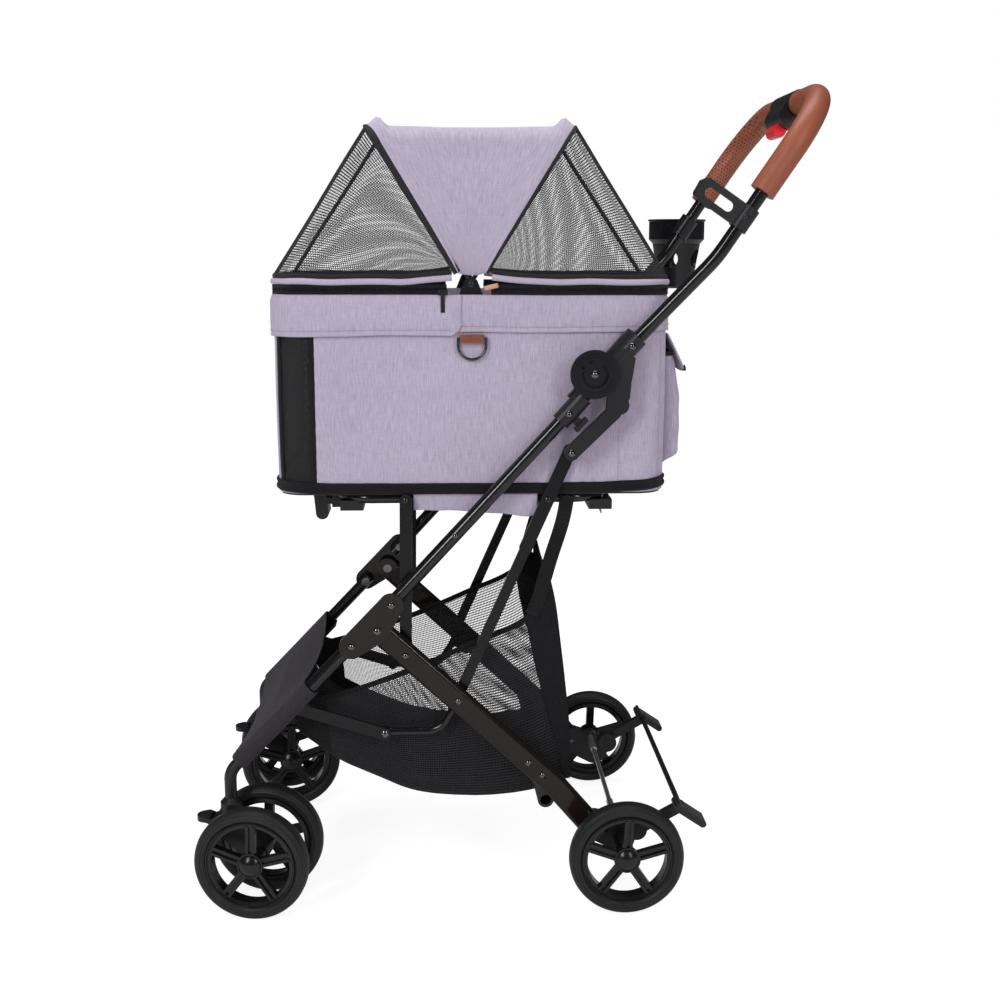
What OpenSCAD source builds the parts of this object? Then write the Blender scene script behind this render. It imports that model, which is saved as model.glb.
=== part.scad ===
// Folding pet stroller with a lift-off fabric carrier.
// Millimetres, +Z up, +X to the rear (handle end), origin on the ground under the middle.

/* [Wheels] */
// Outer radius of every wheel
wheel_r = 70; // [62:1:78]
// Width of every tyre
tyre_w = 26; // [20:1:30]
// Distance between the rear wheel centres, side to side
rear_track = 406; // [400:1:420]
// Distance between the two wheels of one caster
caster_pair = 73; // [66:1:80]
// Rear axle position along X
rear_axle_x = 129; // [120:1:140]
// Angle the near caster is turned, seen from above
left_swivel = -8.5; // [-30:0.5:30]
// Angle the far caster is turned, seen from above
right_swivel = 9; // [-30:0.5:30]
// How far the caster wheels trail behind the swivel axis
caster_trail = 34.5; // [28:0.5:38]

/* [Frame] */
// Diameter of the round frame tubes
tube_d = 16; // [14:0.5:17]
// Wall of the round frame tubes
tube_wall = 1.4; // [1:0.1:2]
// Distance between the tube centre lines, side to side
frame_w = 312; // [310:1:320]
// Angle of the main tubes above level
tube_angle = 47.4; // [46.4:0.2:48.4]
// Distance from the gusset rivet to the hub along the main tube
tube_len = 365; // [358:1:372]
// Width of the flat-oval rear legs
leg_w = 30; // [26:1:32]
// Thickness of the flat-oval rear legs
leg_t = 12.6; // [10:0.2:12.8]
// Thickness of the gusset plates
plate_t = 3; // [2:0.5:4]
// Diameter of the rivet heads
rivet_d = 9; // [7:0.5:10]

/* [Handle] */
// Radius of the hub cover discs
hub_r = 28.5; // [28:0.5:29.5]
// Distance between the handle legs at the grips
handle_w = 353; // [345:1:360]
// Diameter of the padded grip
grip_d = 30; // [26:1:32]
// Bend radius of the handle corners
handle_bend = 80; // [70:1:95]
// Outer radius of the cup holder rim
cup_r = 41; // [38:0.5:43]
// Height of the cup holder
cup_h = 97; // [85:1:105]

/* [Carrier] */
// Length of the carrier body
carrier_l = 469; // [450:1:474]
// Width of the carrier body
carrier_w = 277; // [266:1:278]
// Height of the carrier body from its base to the rim
carrier_h = 235; // [215:1:245]
// Corner radius of the carrier body in plan
carrier_corner = 34; // [26:1:40]
// Wall of the carrier body
carrier_wall = 5; // [4:0.5:7]
// Height of the folded cuff band
cuff_h = 45; // [36:1:52]
// Height of the canopy bows above the carrier rim
canopy_h = 199; // [180:1:205]

/* [Basket] */
// Width of the storage basket
basket_w = 260; // [240:1:260]
// Cloth thickness of the storage basket
basket_t = 2.4; // [1.6:0.2:3]

/* [Hidden] */

clear = 0.3;
seam = 0.1;
rise = wheel_r - 70;
tube_r = tube_d / 2;
tube_y = frame_w / 2;
side_dir = [cos(tube_angle), sin(tube_angle)];
side_up = [-sin(tube_angle), cos(tube_angle)];
p1 = [-154.4, 379.5];
p2 = p1 + [-17.1, -31.5];
p3 = p1 + [-48.1, -50.5];
hub = p1 + tube_len * side_dir + 10.4 * side_up;
arm_end = hub + [-25.2, -93.1];
strut_foot = [-74.4, 257.5];
ring_z = 503;
strut_mid = arm_end + (strut_foot - arm_end) * (arm_end[1] - ring_z) / (arm_end[1] - strut_foot[1]);
post_top = [-136, ring_z];
post_foot = [-138, 316];
leg_knee = [43, 147.5];
leg_foot = [rear_axle_x - 27, 78];
axle = [rear_axle_x, 70];
brake_pivot = axle + [19, 14];
link_rear = [-165, 210];
link_front = [-280, 247];
front_foot = [-348.8, 175.1];
swivel_x = front_foot[0] - 4.7;
caster_x = swivel_x + caster_trail;
caster_y = tube_y + 2.5;
flat_in = tube_y - 15;
flat_out = flat_in + 4.4;
leg_in = tube_y - 5;
leg_out = leg_in + leg_t;
plate_in = tube_y + max(tube_r, leg_t - 5) + 0.3;
plate_out = plate_in + plate_t;
rear_y = rear_track / 2;
cx = -56.5;
half_w = carrier_w / 2;
base_z = ring_z + 6.5 + clear;
rim_z = base_z + carrier_h;
pivot_z = rim_z + 13;
pivot_x = cx - 1;
peak_z = rim_z + canopy_h;
front_peak = [cx - 108, peak_z];
rear_peak = [cx + 108, peak_z];
grip_dir = [cos(56), sin(56)];
handle_knee = p1 + (tube_len + 190) * side_dir;
corner_p = handle_knee + 223.5 * grip_dir;
handle_start = p1 + (tube_len + 31) * side_dir;
handle_mid = p1 + (tube_len + 78) * side_dir;
grip_low = corner_p - 135 * grip_dir;
hub_pin = tube_len - 54;
hub_sleeve = tube_len - 68;
cup_down = 177.4804;
cup_arm = 13.8141;

function unit(v) = v / norm(v);
function xyz(p, y) = [p[0], y, p[1]];
function mid(a, b, t) = a + (b - a) * t;

module placed() {
  translate([0, 0, rise]) children();
}

module both() {
  children();
  mirror([0, 1, 0]) children();
}

// A flat piece drawn in X and Z, from y0 to y1
module slab(y0, y1) {
  translate([0, y1, 0]) rotate([90, 0, 0]) linear_extrude(y1 - y0) children();
}

// The same, drawn along and across the main tube
module tube_slab(y0, y1) {
  slab(y0, y1) translate(p1) rotate(tube_angle) children();
}

module bar2(a, b, w) {
  translate(a) circle(d = w, $fn = 40);
  translate(b) circle(d = w, $fn = 40);
  translate(a) rotate(atan2(b[1] - a[1], b[0] - a[0]))
    translate([0, seam - w / 2]) square([norm(b - a), w - 2 * seam]);
}

module dot(p, r) {
  translate(p) circle(r = r, $fn = 40);
}

// Cylinder along Y
module pin(p, y0, y1, r) {
  translate([p[0], y1, p[1]]) rotate([90, 0, 0]) cylinder(r = r, h = y1 - y0, $fn = 40);
}

// Domed rivet head on the outer side
module dome(p, y, r, h) {
  big = (r * r + h * h) / (2 * h);
  translate([p[0], y, p[1]]) rotate([-90, 0, 0]) intersection() {
    translate([0, 0, h - big]) sphere(r = big, $fn = 48);
    cylinder(r = r, h = h, $fn = 40);
  }
}

module straight(a, b, over = 0) {
  d = unit(b - a);
  w = unit(cross(abs(d[1]) > 0.9 ? [1, 0, 0] : [0, 1, 0], d));
  v = cross(d, w);
  multmatrix([[w[0], v[0], d[0], a[0]], [w[1], v[1], d[1], a[1]], [w[2], v[2], d[2], a[2]],
    [0, 0, 0, 1]]) translate([0, 0, -over]) linear_extrude(norm(b - a) + 2 * over) children();
}

module bend(p, u, v, r) {
  a = acos(u * v);
  n = unit(v - u * (u * v));
  c = p - u * r * tan(a / 2) + n * r;
  w = cross(-n, u);
  multmatrix([[-n[0], u[0], w[0], c[0]], [-n[1], u[1], w[1], c[1]], [-n[2], u[2], w[2], c[2]],
    [0, 0, 0, 1]]) rotate_extrude(angle = a, $fn = 96) translate([r, 0]) children();
}

// Sweeps a section along a path with rounded corners. The first child is the section of the
// straights, the second that of the bends, a hair fuller so that each straight ends inside it
module sweep(pts, r, closed = false) {
  k = len(pts);
  n = closed ? k : k - 1;
  d = [for (i = [0:n - 1]) unit(pts[(i + 1) % k] - pts[i])];
  q = [for (i = [0:k - 1]) is_list(r) ? r[i] : r];
  t = [for (i = [0:k - 1]) closed || (i > 0 && i < n) ? q[i] * tan(acos(d[(i + n - 1) % n] * d[i % n]) / 2)
    : 0];
  for (i = [0:n - 1]) {
    straight(pts[i] + d[i] * (t[i] - (t[i] > 0 ? 1 : 0)),
      pts[(i + 1) % k] - d[i] * (t[(i + 1) % k] - (t[(i + 1) % k] > 0 ? 1 : 0))) children(0);
  }
  for (i = [0:k - 1]) if (t[i] > 0) bend(pts[i], d[(i + n - 1) % n], d[i], q[i]) children(1);
}

module ring2(r, wall) {
  difference() {
    circle(r = r, $fn = 48);
    circle(r = r - wall, $fn = 48);
  }
}

module tube(pts, r_bend, r, wall) {
  sweep(pts, r_bend) {
    rotate(23) ring2(r, wall);
    ring2(r + seam, wall + 2 * seam);
  }
}

module rod(pts, r_bend, r, closed = false) {
  sweep(pts, r_bend, closed) {
    circle(r = r, $fn = 40);
    circle(r = r + seam, $fn = 40);
  }
}

module oval(w, t) {
  square([w - t, t], center = true);
  translate([(w - t) / 2, 0]) circle(d = t, $fn = 32);
  translate([(t - w) / 2, 0]) circle(d = t, $fn = 32);
}

module oval_ring(w, t, wall) {
  difference() {
    oval(w, t);
    oval(w - 2 * wall, t - 2 * wall);
  }
}

module round_rect(l, w, r) {
  square([l - 2 * r, w], center = true);
  square([l, w - 2 * r], center = true);
  for (x = [-1, 1], y = [-1, 1]) {
    translate([x * (l / 2 - r), y * (w / 2 - r)]) circle(r = r, $fn = 64);
  }
}

// ---- main frame -------------------------------------------------------------

module main_tubes() {
  a = xyz(p1 - 12 * side_dir, tube_y);
  b = xyz(p1 + (tube_len - 30) * side_dir, tube_y);
  color([0.03, 0.03, 0.03]) placed() both() difference() {
    straight(a, b) ring2(tube_r, tube_wall);
    pin(p1, 0, 200, 3.4);
    pin(p1 + 114 * side_dir, 0, 200, 2.4);
    pin(p1 + hub_pin * side_dir, 0, 200, 3.4);
  }
}

module gusset_plates() {
  color([0.04, 0.04, 0.04]) placed() both() difference() {
    slab(plate_in, plate_out) {
      bar2(p1, p3, 30);
      bar2(p1, p2, 30);
      bar2(p2, p3, 30);
      polygon([p1, p2, p3]);
    }
    pin(p1, 0, 200, 3.4);
    pin(p2, 0, 200, 3.9);
    pin(p3, 0, 200, 3.9);
  }
}

module frame_rivets() {
  color([0.1, 0.1, 0.1]) placed() both() {
    pin(p1, tube_y - tube_r - 1.6, plate_out, 3.2);
    pin(p1, tube_y - tube_r - 1.6, tube_y - tube_r - 0.1, 5);
    dome(p1, plate_out, rivet_d / 2, 2.4);
    pin(p2, leg_in - 2, plate_out, 3.7);
    pin(p2, leg_in - 2, leg_in - 0.2, 6);
    dome(p2, plate_out, rivet_d / 2 + 0.5, 2.6);
    pin(p3, tube_y - tube_r - 1.6, plate_out, 3.7);
    pin(p3, tube_y - tube_r - 1.6, tube_y - tube_r - 0.2, 6);
    dome(p3, plate_out, rivet_d / 2, 2.4);
    pin(p1 + 114 * side_dir, tube_y - tube_r - 1.4, tube_y + tube_r, 2.2);
    dome(p1 + 114 * side_dir, tube_y + tube_r, 3.4, 1.8);
    pin(p1 + hub_pin * side_dir, tube_y - 11.4, tube_y + 11.4, 3.2);
    dome(p1 + hub_pin * side_dir, tube_y + 11.4, rivet_d / 2 - 0.4, 2.2);
    pin(hub, tube_y - 12, tube_y + 16.9, 4);
    pin(hub, tube_y - 12, tube_y - 10.8, 7);
    dome(hub, tube_y + 16.9, rivet_d / 2, 2.2);
  }
}

module hub_lower_housings() {
  color([0.05, 0.05, 0.05]) placed() both() difference() {
    union() {
      straight(xyz(p1 + hub_sleeve * side_dir, tube_y), xyz(p1 + (tube_len - 27.5) * side_dir, tube_y))
        circle(r = 11.3, $fn = 48);
      slab(tube_y - 10.7, tube_y - 1.3) dot(hub, 24);
      tube_slab(tube_y - 10.7, tube_y - 1.3) translate([tube_len - 40, -8]) square([32, 22]);
      tube_slab(tube_y - 6, tube_y + 4) translate([hub_pin - 5, -19]) square([10, 19]);
      tube_slab(tube_y - 6, tube_y + 8) bar2([hub_pin - 7, -20], [hub_pin + 8, -20], 5.4);
    }
    straight(xyz(p1 + (hub_sleeve - 1) * side_dir, tube_y), xyz(p1 + (tube_len - 29.8) * side_dir, tube_y))
      circle(r = tube_r + 0.12, $fn = 48);
    pin(hub, 0, 200, 4.2);
    pin(p1 + hub_pin * side_dir, 0, 200, 3.4);
  }
}

// ---- handle -----------------------------------------------------------------

// A point on the far handle leg, s below the corner
function leg_at(s) = xyz(corner_p - s * grip_dir, handle_w / 2);

module handle_tube() {
  side = [xyz(handle_start, tube_y), xyz(handle_mid, tube_y), xyz(handle_knee, handle_w / 2),
    xyz(corner_p, handle_w / 2)];
  pts = [for (i = [0:7]) i < 4 ? side[i] : [side[7 - i][0], -side[7 - i][1], side[7 - i][2]]];
  color([0.03, 0.03, 0.03]) placed() difference() {
    tube(pts, [0, 120, 120, handle_bend, handle_bend, 120, 120, 0], tube_r, tube_wall);
    both() pin(p1 + (tube_len + 53) * side_dir, 0, 200, 3.4);
  }
}

module handle_grip() {
  pts = [xyz(grip_low, handle_w / 2), xyz(corner_p, handle_w / 2), xyz(corner_p, 44)];
  color([0.45, 0.22, 0.13]) placed() both()
    tube(pts, handle_bend, grip_d / 2, grip_d / 2 - tube_r - 0.45);
}

module trigger_housing() {
  c = corner_p;
  down = [-cos(60), -sin(60)];
  color([0.06, 0.06, 0.06]) placed() difference() {
    union() {
      pin(c, -43.7, 43.7, grip_d / 2 + 1.2);
      slab(-38, 38) bar2(c, c + 17 * down, 30);
    }
    pin(c, -60, 60, tube_r + 0.12);
    slab(-22, 22) bar2(c + 12 * down, c + 46 * down, 15);
    slab(-25, 25) bar2(c + 12 * down, c + 19 * down, 18);
  }
}

module fold_button() {
  c = corner_p;
  down = [-cos(60), -sin(60)];
  color([0.8, 0.03, 0.05]) placed() {
    slab(-21.6, 21.6) bar2(c + 22 * down, c + 37 * down, 14.4);
    slab(-24.6, 24.6) bar2(c + 19.5 * down, c + 20.5 * down, 14.8);
  }
}

module hub_upper_housings() {
  s = tube_len;
  color([0.05, 0.05, 0.05]) placed() both() difference() {
    union() {
      straight(xyz(p1 + (s + 26) * side_dir, tube_y), xyz(p1 + (s + 66) * side_dir, tube_y))
        circle(r = 11.3, $fn = 48);
      slab(tube_y - 1, tube_y + 11) {
        dot(hub, 26);
        bar2(arm_end, hub + [24, -45], 17);
        polygon([hub + [10, 14], hub + [34, 30], hub + [48, 18], hub + [43.5, -10],
          hub + [41.8, -28.6], hub + [33, -46], hub + [15, -42], hub + [16, -22]]);
        dot(hub + [30.5, -36.5], 11);
      }
      tube_slab(tube_y - 9, tube_y + 1.5) translate([s + 27, 6]) square([39, 9.7]);
      pin(arm_end, flat_out + clear, tube_y, 6.5);
    }
    straight(xyz(p1 + (s + 30.8) * side_dir, tube_y), xyz(p1 + (s + 67) * side_dir, tube_y))
      circle(r = tube_r + 0.12, $fn = 48);
    pin(hub, 0, 200, 4.25);
    pin(arm_end, 0, 200, 3.4);
    pin(p1 + (s + 53) * side_dir, 0, 200, 3.4);
  }
}

module hub_covers() {
  color([0.04, 0.04, 0.04]) placed() both() difference() {
    union() {
      pin(hub, tube_y + 11.2, tube_y + 15.4, hub_r);
      pin(hub, tube_y + 15.3, tube_y + 16.6, hub_r - 5);
    }
    translate([hub[0], tube_y + 18, hub[1]]) rotate([90, 0, 0]) {
      rotate([0, 0, 165]) rotate_extrude(angle = 245, $fn = 96) translate([12.5, 0]) square([3.4, 5]);
      rotate([0, 0, 20]) rotate_extrude(angle = 330, $fn = 96) translate([20.2, 0]) square([0.9, 2.2]);
    }
    pin(hub + [-5.5, 14.5], tube_y + 13, tube_y + 20, 2.3);
    pin(hub + [-14, 8], tube_y + 13, tube_y + 20, 2.1);
    pin(hub, 0, 200, 4.25);
  }
}

module handle_rivets() {
  e = p1 + (tube_len + 53) * side_dir;
  color([0.1, 0.1, 0.1]) placed() {
    both() {
      pin(e, tube_y - 11.4, tube_y + 11.4, 3.2);
      dome(e, tube_y + 11.4, rivet_d / 2 - 0.4, 2.2);
      pin(arm_end, flat_in - 0.6, tube_y + 11, 3.2);
      pin(arm_end, flat_in - 1.7, flat_in - 0.3, 5.5);
      dome(arm_end, tube_y + 11, rivet_d / 2, 2.4);
    }
  }
}

module latch_loop() {
  c = corner_p - 170 * grip_dir;
  u = grip_dir;
  n = [-u[1], u[0]];
  y = handle_w / 2;
  color([0.05, 0.05, 0.05]) placed() mirror([0, 1, 0]) {
    difference() {
      union() {
        straight(leg_at(184), leg_at(156)) circle(r = tube_r + 3, $fn = 48);
        slab(y + 3.2, y + 7) difference() {
          union() {
            bar2(c - 8 * u, c - 8 * u + 55 * n, 12);
            bar2(c + 8 * u, c + 8 * u + 57 * n, 12);
            bar2(c - 6 * u + 57 * n, c + 6 * u + 58 * n, 14);
            polygon([c - 14 * u, c + 14 * u, c + 12 * u + 20 * n, c - 12 * u + 20 * n]);
          }
          bar2(c + 24 * n, c + 49 * n, 12.4);
        }
        slab(y - 11, y + 7) difference() {
          bar2(c - 6 * u + 59 * n, c + 6 * u + 60 * n, 10);
          bar2(c - 12 * u + 55 * n, c + 12 * u + 56 * n, 10);
        }
      }
      straight(leg_at(185), leg_at(155)) circle(r = tube_r + 0.2, $fn = 48);
    }
    dome(c, y + tube_r + 2.8, 4.2, 2);
  }
}

module cup_holder() {
  y0 = handle_w / 2 + 53.5;
  c = [leg_at(cup_down)[0], y0];
  top = leg_at(cup_down)[2] + cup_arm;
  k = cup_h;
  m = handle_w / 2;
  color([0.05, 0.05, 0.05]) placed() difference() {
    union() {
      translate([c[0], c[1], top - k]) rotate_extrude($fn = 96) polygon([[0, 0], [20, 0],
        [24, 3], [34, k - 34], [cup_r - 1.5, k - 28], [cup_r - 1.5, k - 3], [cup_r, k - 2],
        [cup_r, k], [cup_r - 4, k], [cup_r - 4, k - 26], [31.5, k - 34], [21.5, 5.5], [0, 4]]);
      translate([c[0] - 9, m + 5, top - 26]) cube([18, y0 - m - cup_r + 1, 19]);
      straight(leg_at(cup_down + 12.5196), leg_at(cup_down - 16.4804)) circle(r = 12.2, $fn = 48);
    }
    translate([c[0], c[1], top - 25.8]) cylinder(r = cup_r - 4.1, h = 24, $fn = 96);
    straight(leg_at(200), leg_at(150)) circle(r = tube_r + 0.2, $fn = 48);
    for (a = [60, 150, 240, 330]) translate([c[0], c[1], top - k + 42]) rotate([0, 0, a])
      translate([20, 0, 0]) rotate([0, 90, 0]) cylinder(r = 13, h = 30, $fn = 48);
  }
}

// ---- folding links ----------------------------------------------------------

module struts() {
  color([0.03, 0.03, 0.03]) placed() both() difference() {
    slab(flat_in, flat_out) {
      bar2(arm_end, mid(strut_mid, strut_foot, 0.24), 16);
      bar2(strut_mid, strut_foot, 13);
    }
    pin(arm_end, 0, 200, 3.4);
    pin(strut_mid, 0, 200, 3.4);
  }
}

module posts() {
  color([0.03, 0.03, 0.03]) placed() both() difference() {
    slab(flat_in, flat_out) bar2(post_top, post_foot, 15);
    pin(post_top, 0, 200, 3.4);
  }
}

// ---- carrier platform -------------------------------------------------------

ring_x0 = -218.5;
ring_x1 = 105.5;
ring_y = 126;

module platform_ring() {
  r = 45;
  y = ring_y;
  pts = [[ring_x1, -y, ring_z], [ring_x1, y, ring_z], [ring_x0, y, ring_z], [ring_x0, -y, ring_z]];
  color([0.03, 0.03, 0.03]) placed() {
    rod(pts, r, 6.5, true);
    for (x = [post_top[0], strut_mid[0]]) translate([x - 11, -y, ring_z - 5]) cube([22, 2 * y, 4]);
    both() for (p = [post_top, strut_mid]) {
      pin(p, y, flat_in - 0.4, 5);
      pin(p, y, flat_out + 1.2, 3.2);
      dome(p, flat_out + 0.3, 4.2, 1.9);
    }
  }
}

module platform_feet() {
  color([0.05, 0.05, 0.05]) placed() {
    for (x = [ring_x0 + 17, ring_x1 - 6]) both() difference() {
      translate([x - 14, ring_y - 52, ring_z - 15.5]) cube([28, 52, 12]);
      rod([[(ring_x0 + ring_x1) / 2, ring_y, ring_z], [x < 0 ? ring_x0 : ring_x1, ring_y, ring_z],
        [x < 0 ? ring_x0 : ring_x1, 0, ring_z]], 45, 6.7);
    }
    difference() {
      translate([ring_x0 - 10, -85, ring_z - 19]) cube([20, 50, 15]);
      translate([ring_x0, -100, ring_z]) rotate([-90, 0, 0]) cylinder(r = 6.7, h = 100, $fn = 40);
      translate([ring_x0 - 11, -77.4, ring_z - 30]) cube([14.4, 34.8, 40]);
      pin([ring_x0 - 5, ring_z - 14], -90, 0, 2.4);
    }
  }
}

module release_knob() {
  p = [ring_x0 - 5, ring_z - 14];
  color([0.06, 0.06, 0.06]) placed() {
    slab(-77, -43) {
      bar2(p, p + [-17, 2], 7);
      bar2(p + [-20, 8], p + [-18, -14], 16);
    }
    pin(p, -84.8, -35.2, 2.2);
  }
}

// ---- carrier ----------------------------------------------------------------

module carrier_plan(grow) {
  translate([cx, 0]) round_rect(carrier_l + 2 * grow, carrier_w + 2 * grow, carrier_corner + grow);
}

win_z0 = base_z + 18;
win_z1 = rim_z - cuff_h + 3;
win_x = cx - carrier_l / 2 + 45;

module carrier_shell() {
  color([0.42, 0.38, 0.46]) placed() difference() {
    translate([0, 0, base_z]) linear_extrude(carrier_h) carrier_plan(0);
    translate([0, 0, base_z + 8]) linear_extrude(carrier_h) carrier_plan(-carrier_wall);
    translate([win_x - 200, -200, win_z0]) cube([200, 400, win_z1 - win_z0]);
    translate([cx - carrier_l / 2 - 1, -200, rim_z - cuff_h + 5]) cube([1, 1, 1]);
  }
}

module front_window() {
  color([0.05, 0.05, 0.05]) placed() intersection() {
    translate([0, 0, base_z]) linear_extrude(carrier_h) difference() {
      carrier_plan(-0.4);
      carrier_plan(-2.4);
    }
    translate([win_x - 200 - clear, -200, win_z0 + clear])
      cube([200, 400, win_z1 - win_z0 - 2 * clear]);
  }
}

module carrier_cuff() {
  color([0.42, 0.38, 0.46]) placed() translate([0, 0, rim_z - cuff_h])
    linear_extrude(cuff_h) difference() {
      carrier_plan(1.7);
      carrier_plan(0.2);
    }
}

module carrier_flaps() {
  z1 = base_z - clear;
  color([0.42, 0.38, 0.46]) placed() both() slab(half_w - 4.3, half_w - 2.3) {
    polygon([[post_top[0] + 9, z1], [post_top[0] + 9, z1 - 18], [post_top[0] + 22, z1 - 22],
      [-60, z1 - 18], [-5, z1 - 24], [strut_mid[0] - 9, z1 - 18], [strut_mid[0] - 9, z1]]);
  }
}

module floor_mat() {
  color([0.2, 0.2, 0.22]) placed() translate([0, 0, base_z + 8 + clear])
    linear_extrude(18) carrier_plan(-carrier_wall - 3);
}

module zipper_track() {
  color([0.03, 0.03, 0.03]) placed() translate([0, 0, rim_z + clear]) difference() {
    linear_extrude(6) difference() {
      carrier_plan(-0.6);
      carrier_plan(-5.5);
    }
    both() translate([pivot_x - 17, half_w - 20, -1]) cube([34, 40, 10]);
  }
}

module zip_slider() {
  x = cx - 34;
  color([0.08, 0.08, 0.08]) placed() {
    translate([x - 6, -half_w - 2.4, rim_z + 0.6]) cube([12, 2.1, 5.8]);
    translate([x - 2.5, -half_w - 4.2, rim_z - 20]) cube([5, 1.9, 24]);
  }
}

module rear_pocket() {
  x0 = cx + carrier_l / 2 + clear;
  z = base_z + 36;
  color([0.42, 0.38, 0.46]) placed() slab(-102, 102) difference() {
    polygon([[x0, z], [x0 + 13, z], [x0 + 17, z + 10], [x0 + 17, z + 55], [x0 + 6, z + 128], [x0, z + 128]]);
  }
}

module pocket_flap() {
  x0 = cx + carrier_l / 2;
  z = rim_z - cuff_h - 2.4;
  color([0.42, 0.38, 0.46]) placed() slab(-106, 106) bar2([x0 + 2.2, z], [x0 + 24.5, z - 40], 3);
}

module bow_brackets() {
  p = [pivot_x, pivot_z];
  color([0.04, 0.04, 0.04]) placed() both() difference() {
    union() {
      slab(half_w - 5.2, half_w - 2.2) {
        polygon([p + [-14, -12.5], p + [14, -12.5], p + [7, 5], p + [-7, 5]]);
        dot(p, 7.5);
      }
      pin(p, half_w - 20.5, half_w - 1.2, 2.6);
      dome(p, half_w - 2.2, 4.6, 2);
    }
  }
}

module bow(y, peak, lean) {
  p = [pivot_x, pivot_z];
  u = unit(peak - p);
  a = p + 7 * u;
  b = peak - [0, 5];
  placed() difference() {
    union() {
      rod([xyz(a, -y), xyz(b, -y), xyz(b, y), xyz(a, y)], 26, 2.6);
      for (s = [-1, 1]) pin(p, s * y - 2.9, s * y + 2.9, 7.4);
    }
    pin(p, -200, 200, 2.9);
  }
}

module front_bow() {
  color([0.06, 0.06, 0.06]) bow(half_w - 8.3, front_peak + [4, -3], 0);
}

module rear_bow() {
  color([0.06, 0.06, 0.06]) bow(half_w - 14.1, rear_peak + [-4, -3], 0);
}

module canopy_top() {
  z = rim_z + 21;
  o = [[pivot_x - 15, z], front_peak + [1, 0], rear_peak + [-1, 0], [pivot_x + 15, z]];
  i = [[pivot_x - 15, z - 1], [pivot_x - 15, z], front_peak + [1, 0] + [0.5, -1.5],
    rear_peak + [-1, 0] + [-0.5, -1.5], [pivot_x + 15, z], [pivot_x + 15, z - 1]];
  color([0.42, 0.38, 0.46]) placed() difference() {
    slab(-half_w + 0.6, half_w - 0.6) polygon(o);
    slab(-half_w + 2, half_w - 2) polygon([i[0] + [-40, 0], i[1] + [-40, 0], i[2] + [-20, 0],
      i[3] + [20, 0], i[4] + [40, 0], i[5] + [40, 0]]);
  }
}

module canopy_end(peak, s) {
  z0 = rim_z + 7;
  far = cx + s * (carrier_l / 2 - 3);
  o = [[far, z0], [far, z0 + 9], peak + [s * 1, 0], peak + [-s * 0.6, 0], [pivot_x + s * 17, z0 + 14],
    [pivot_x + s * 22, z0]];
  i = [[far - s * 1.6, z0 - 1], [far - s * 1.6, z0 + 8.6], peak + [-s * 1.2, 0], peak + [-s * 40, 0],
    [pivot_x - s * 20, z0 + 14], [pivot_x - s * 20, z0 - 1]];
  color([0.05, 0.05, 0.05]) placed() difference() {
    slab(-half_w + 0.6, half_w - 0.6) polygon(o);
    slab(-half_w + 2, half_w - 2) polygon(i);
  }
}

module canopy_front() {
  canopy_end(front_peak, -1);
}

module canopy_rear() {
  canopy_end(rear_peak, 1);
}

ring_zc = rim_z - cuff_h - 5;

module ring_tabs() {
  color([0.4, 0.2, 0.12]) placed() both() difference() {
    translate([cx - 14, half_w + clear, ring_zc - 4.5]) cube([28, 7.6, 9]);
    translate([cx - 20, half_w + 4.2, ring_zc]) rotate([0, 90, 0]) cylinder(r = 2, h = 40, $fn = 32);
  }
}

module d_ring(s) {
  color([0.12, 0.12, 0.13]) placed() translate([cx, s * (half_w + 4.2), ring_zc]) {
    rotate([0, 90, 0]) translate([0, 0, -16.3]) cylinder(r = 1.7, h = 32.6, $fn = 32);
    for (x = [-1, 1]) translate([x * 16.3, 0, -8]) cylinder(r = 1.7, h = 8, $fn = 32);
    for (x = [-1, 1]) translate([x * 16.3, 0, 0]) sphere(r = 1.7, $fn = 32);
    translate([0, 0, -8]) rotate([-90, 0, 0]) rotate_extrude(angle = 180, $fn = 96)
      translate([16.3, 0]) circle(r = 1.7, $fn = 32);
  }
}

module left_d_ring() {
  d_ring(-1);
}

module right_d_ring() {
  d_ring(1);
}

// ---- rear frame -------------------------------------------------------------

module rear_legs() {
  y = (leg_in + leg_out) / 2;
  s = p2 + 4 * unit(leg_knee - p2);
  pts = [xyz(s, y), xyz(leg_knee, y), xyz(leg_foot, y)];
  color([0.03, 0.03, 0.03]) placed() both() difference() {
    union() {
      sweep(pts, 130) {
        oval_ring(leg_w, leg_t, 1.5);
        oval_ring(leg_w + 2 * seam, leg_t + 2 * seam, 1.5 + 2 * seam);
      }
      pin(p2, leg_in, leg_out, leg_w / 2 - 1);
    }
    pin(p2, 0, 200, 3.9);
    pin(strut_foot, leg_out - 4, 200, 3.2);
    pin(post_foot, leg_out - 4, 200, 3.2);
    pin(cross_a, 0, 200, 3.2);
    pin(cross_b, 0, 200, 3.2);
    pin(leg_foot + [-6, 8], 0, 200, 3.2);
  }
}

cross_a = mid(p2, leg_knee, 0.853);
cross_b = mid(p2, leg_knee, 0.935);
cross_c = [34, 123];

module rear_cross_tube() {
  color([0.03, 0.03, 0.03]) placed() difference() {
    union() {
      pin(cross_c, -leg_in + 0.2, leg_in - 0.2, 8);
      both() slab(leg_in - 3.4, leg_in - 0.2) {
        bar2(cross_a, cross_b, 17);
        bar2(mid(cross_a, cross_b, 0.7), cross_c, 20);
      }
    }
    pin(cross_c, -200, 200, 6.6);
    pin(cross_a, -200, 200, 3.2);
    pin(cross_b, -200, 200, 3.2);
  }
}

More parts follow.
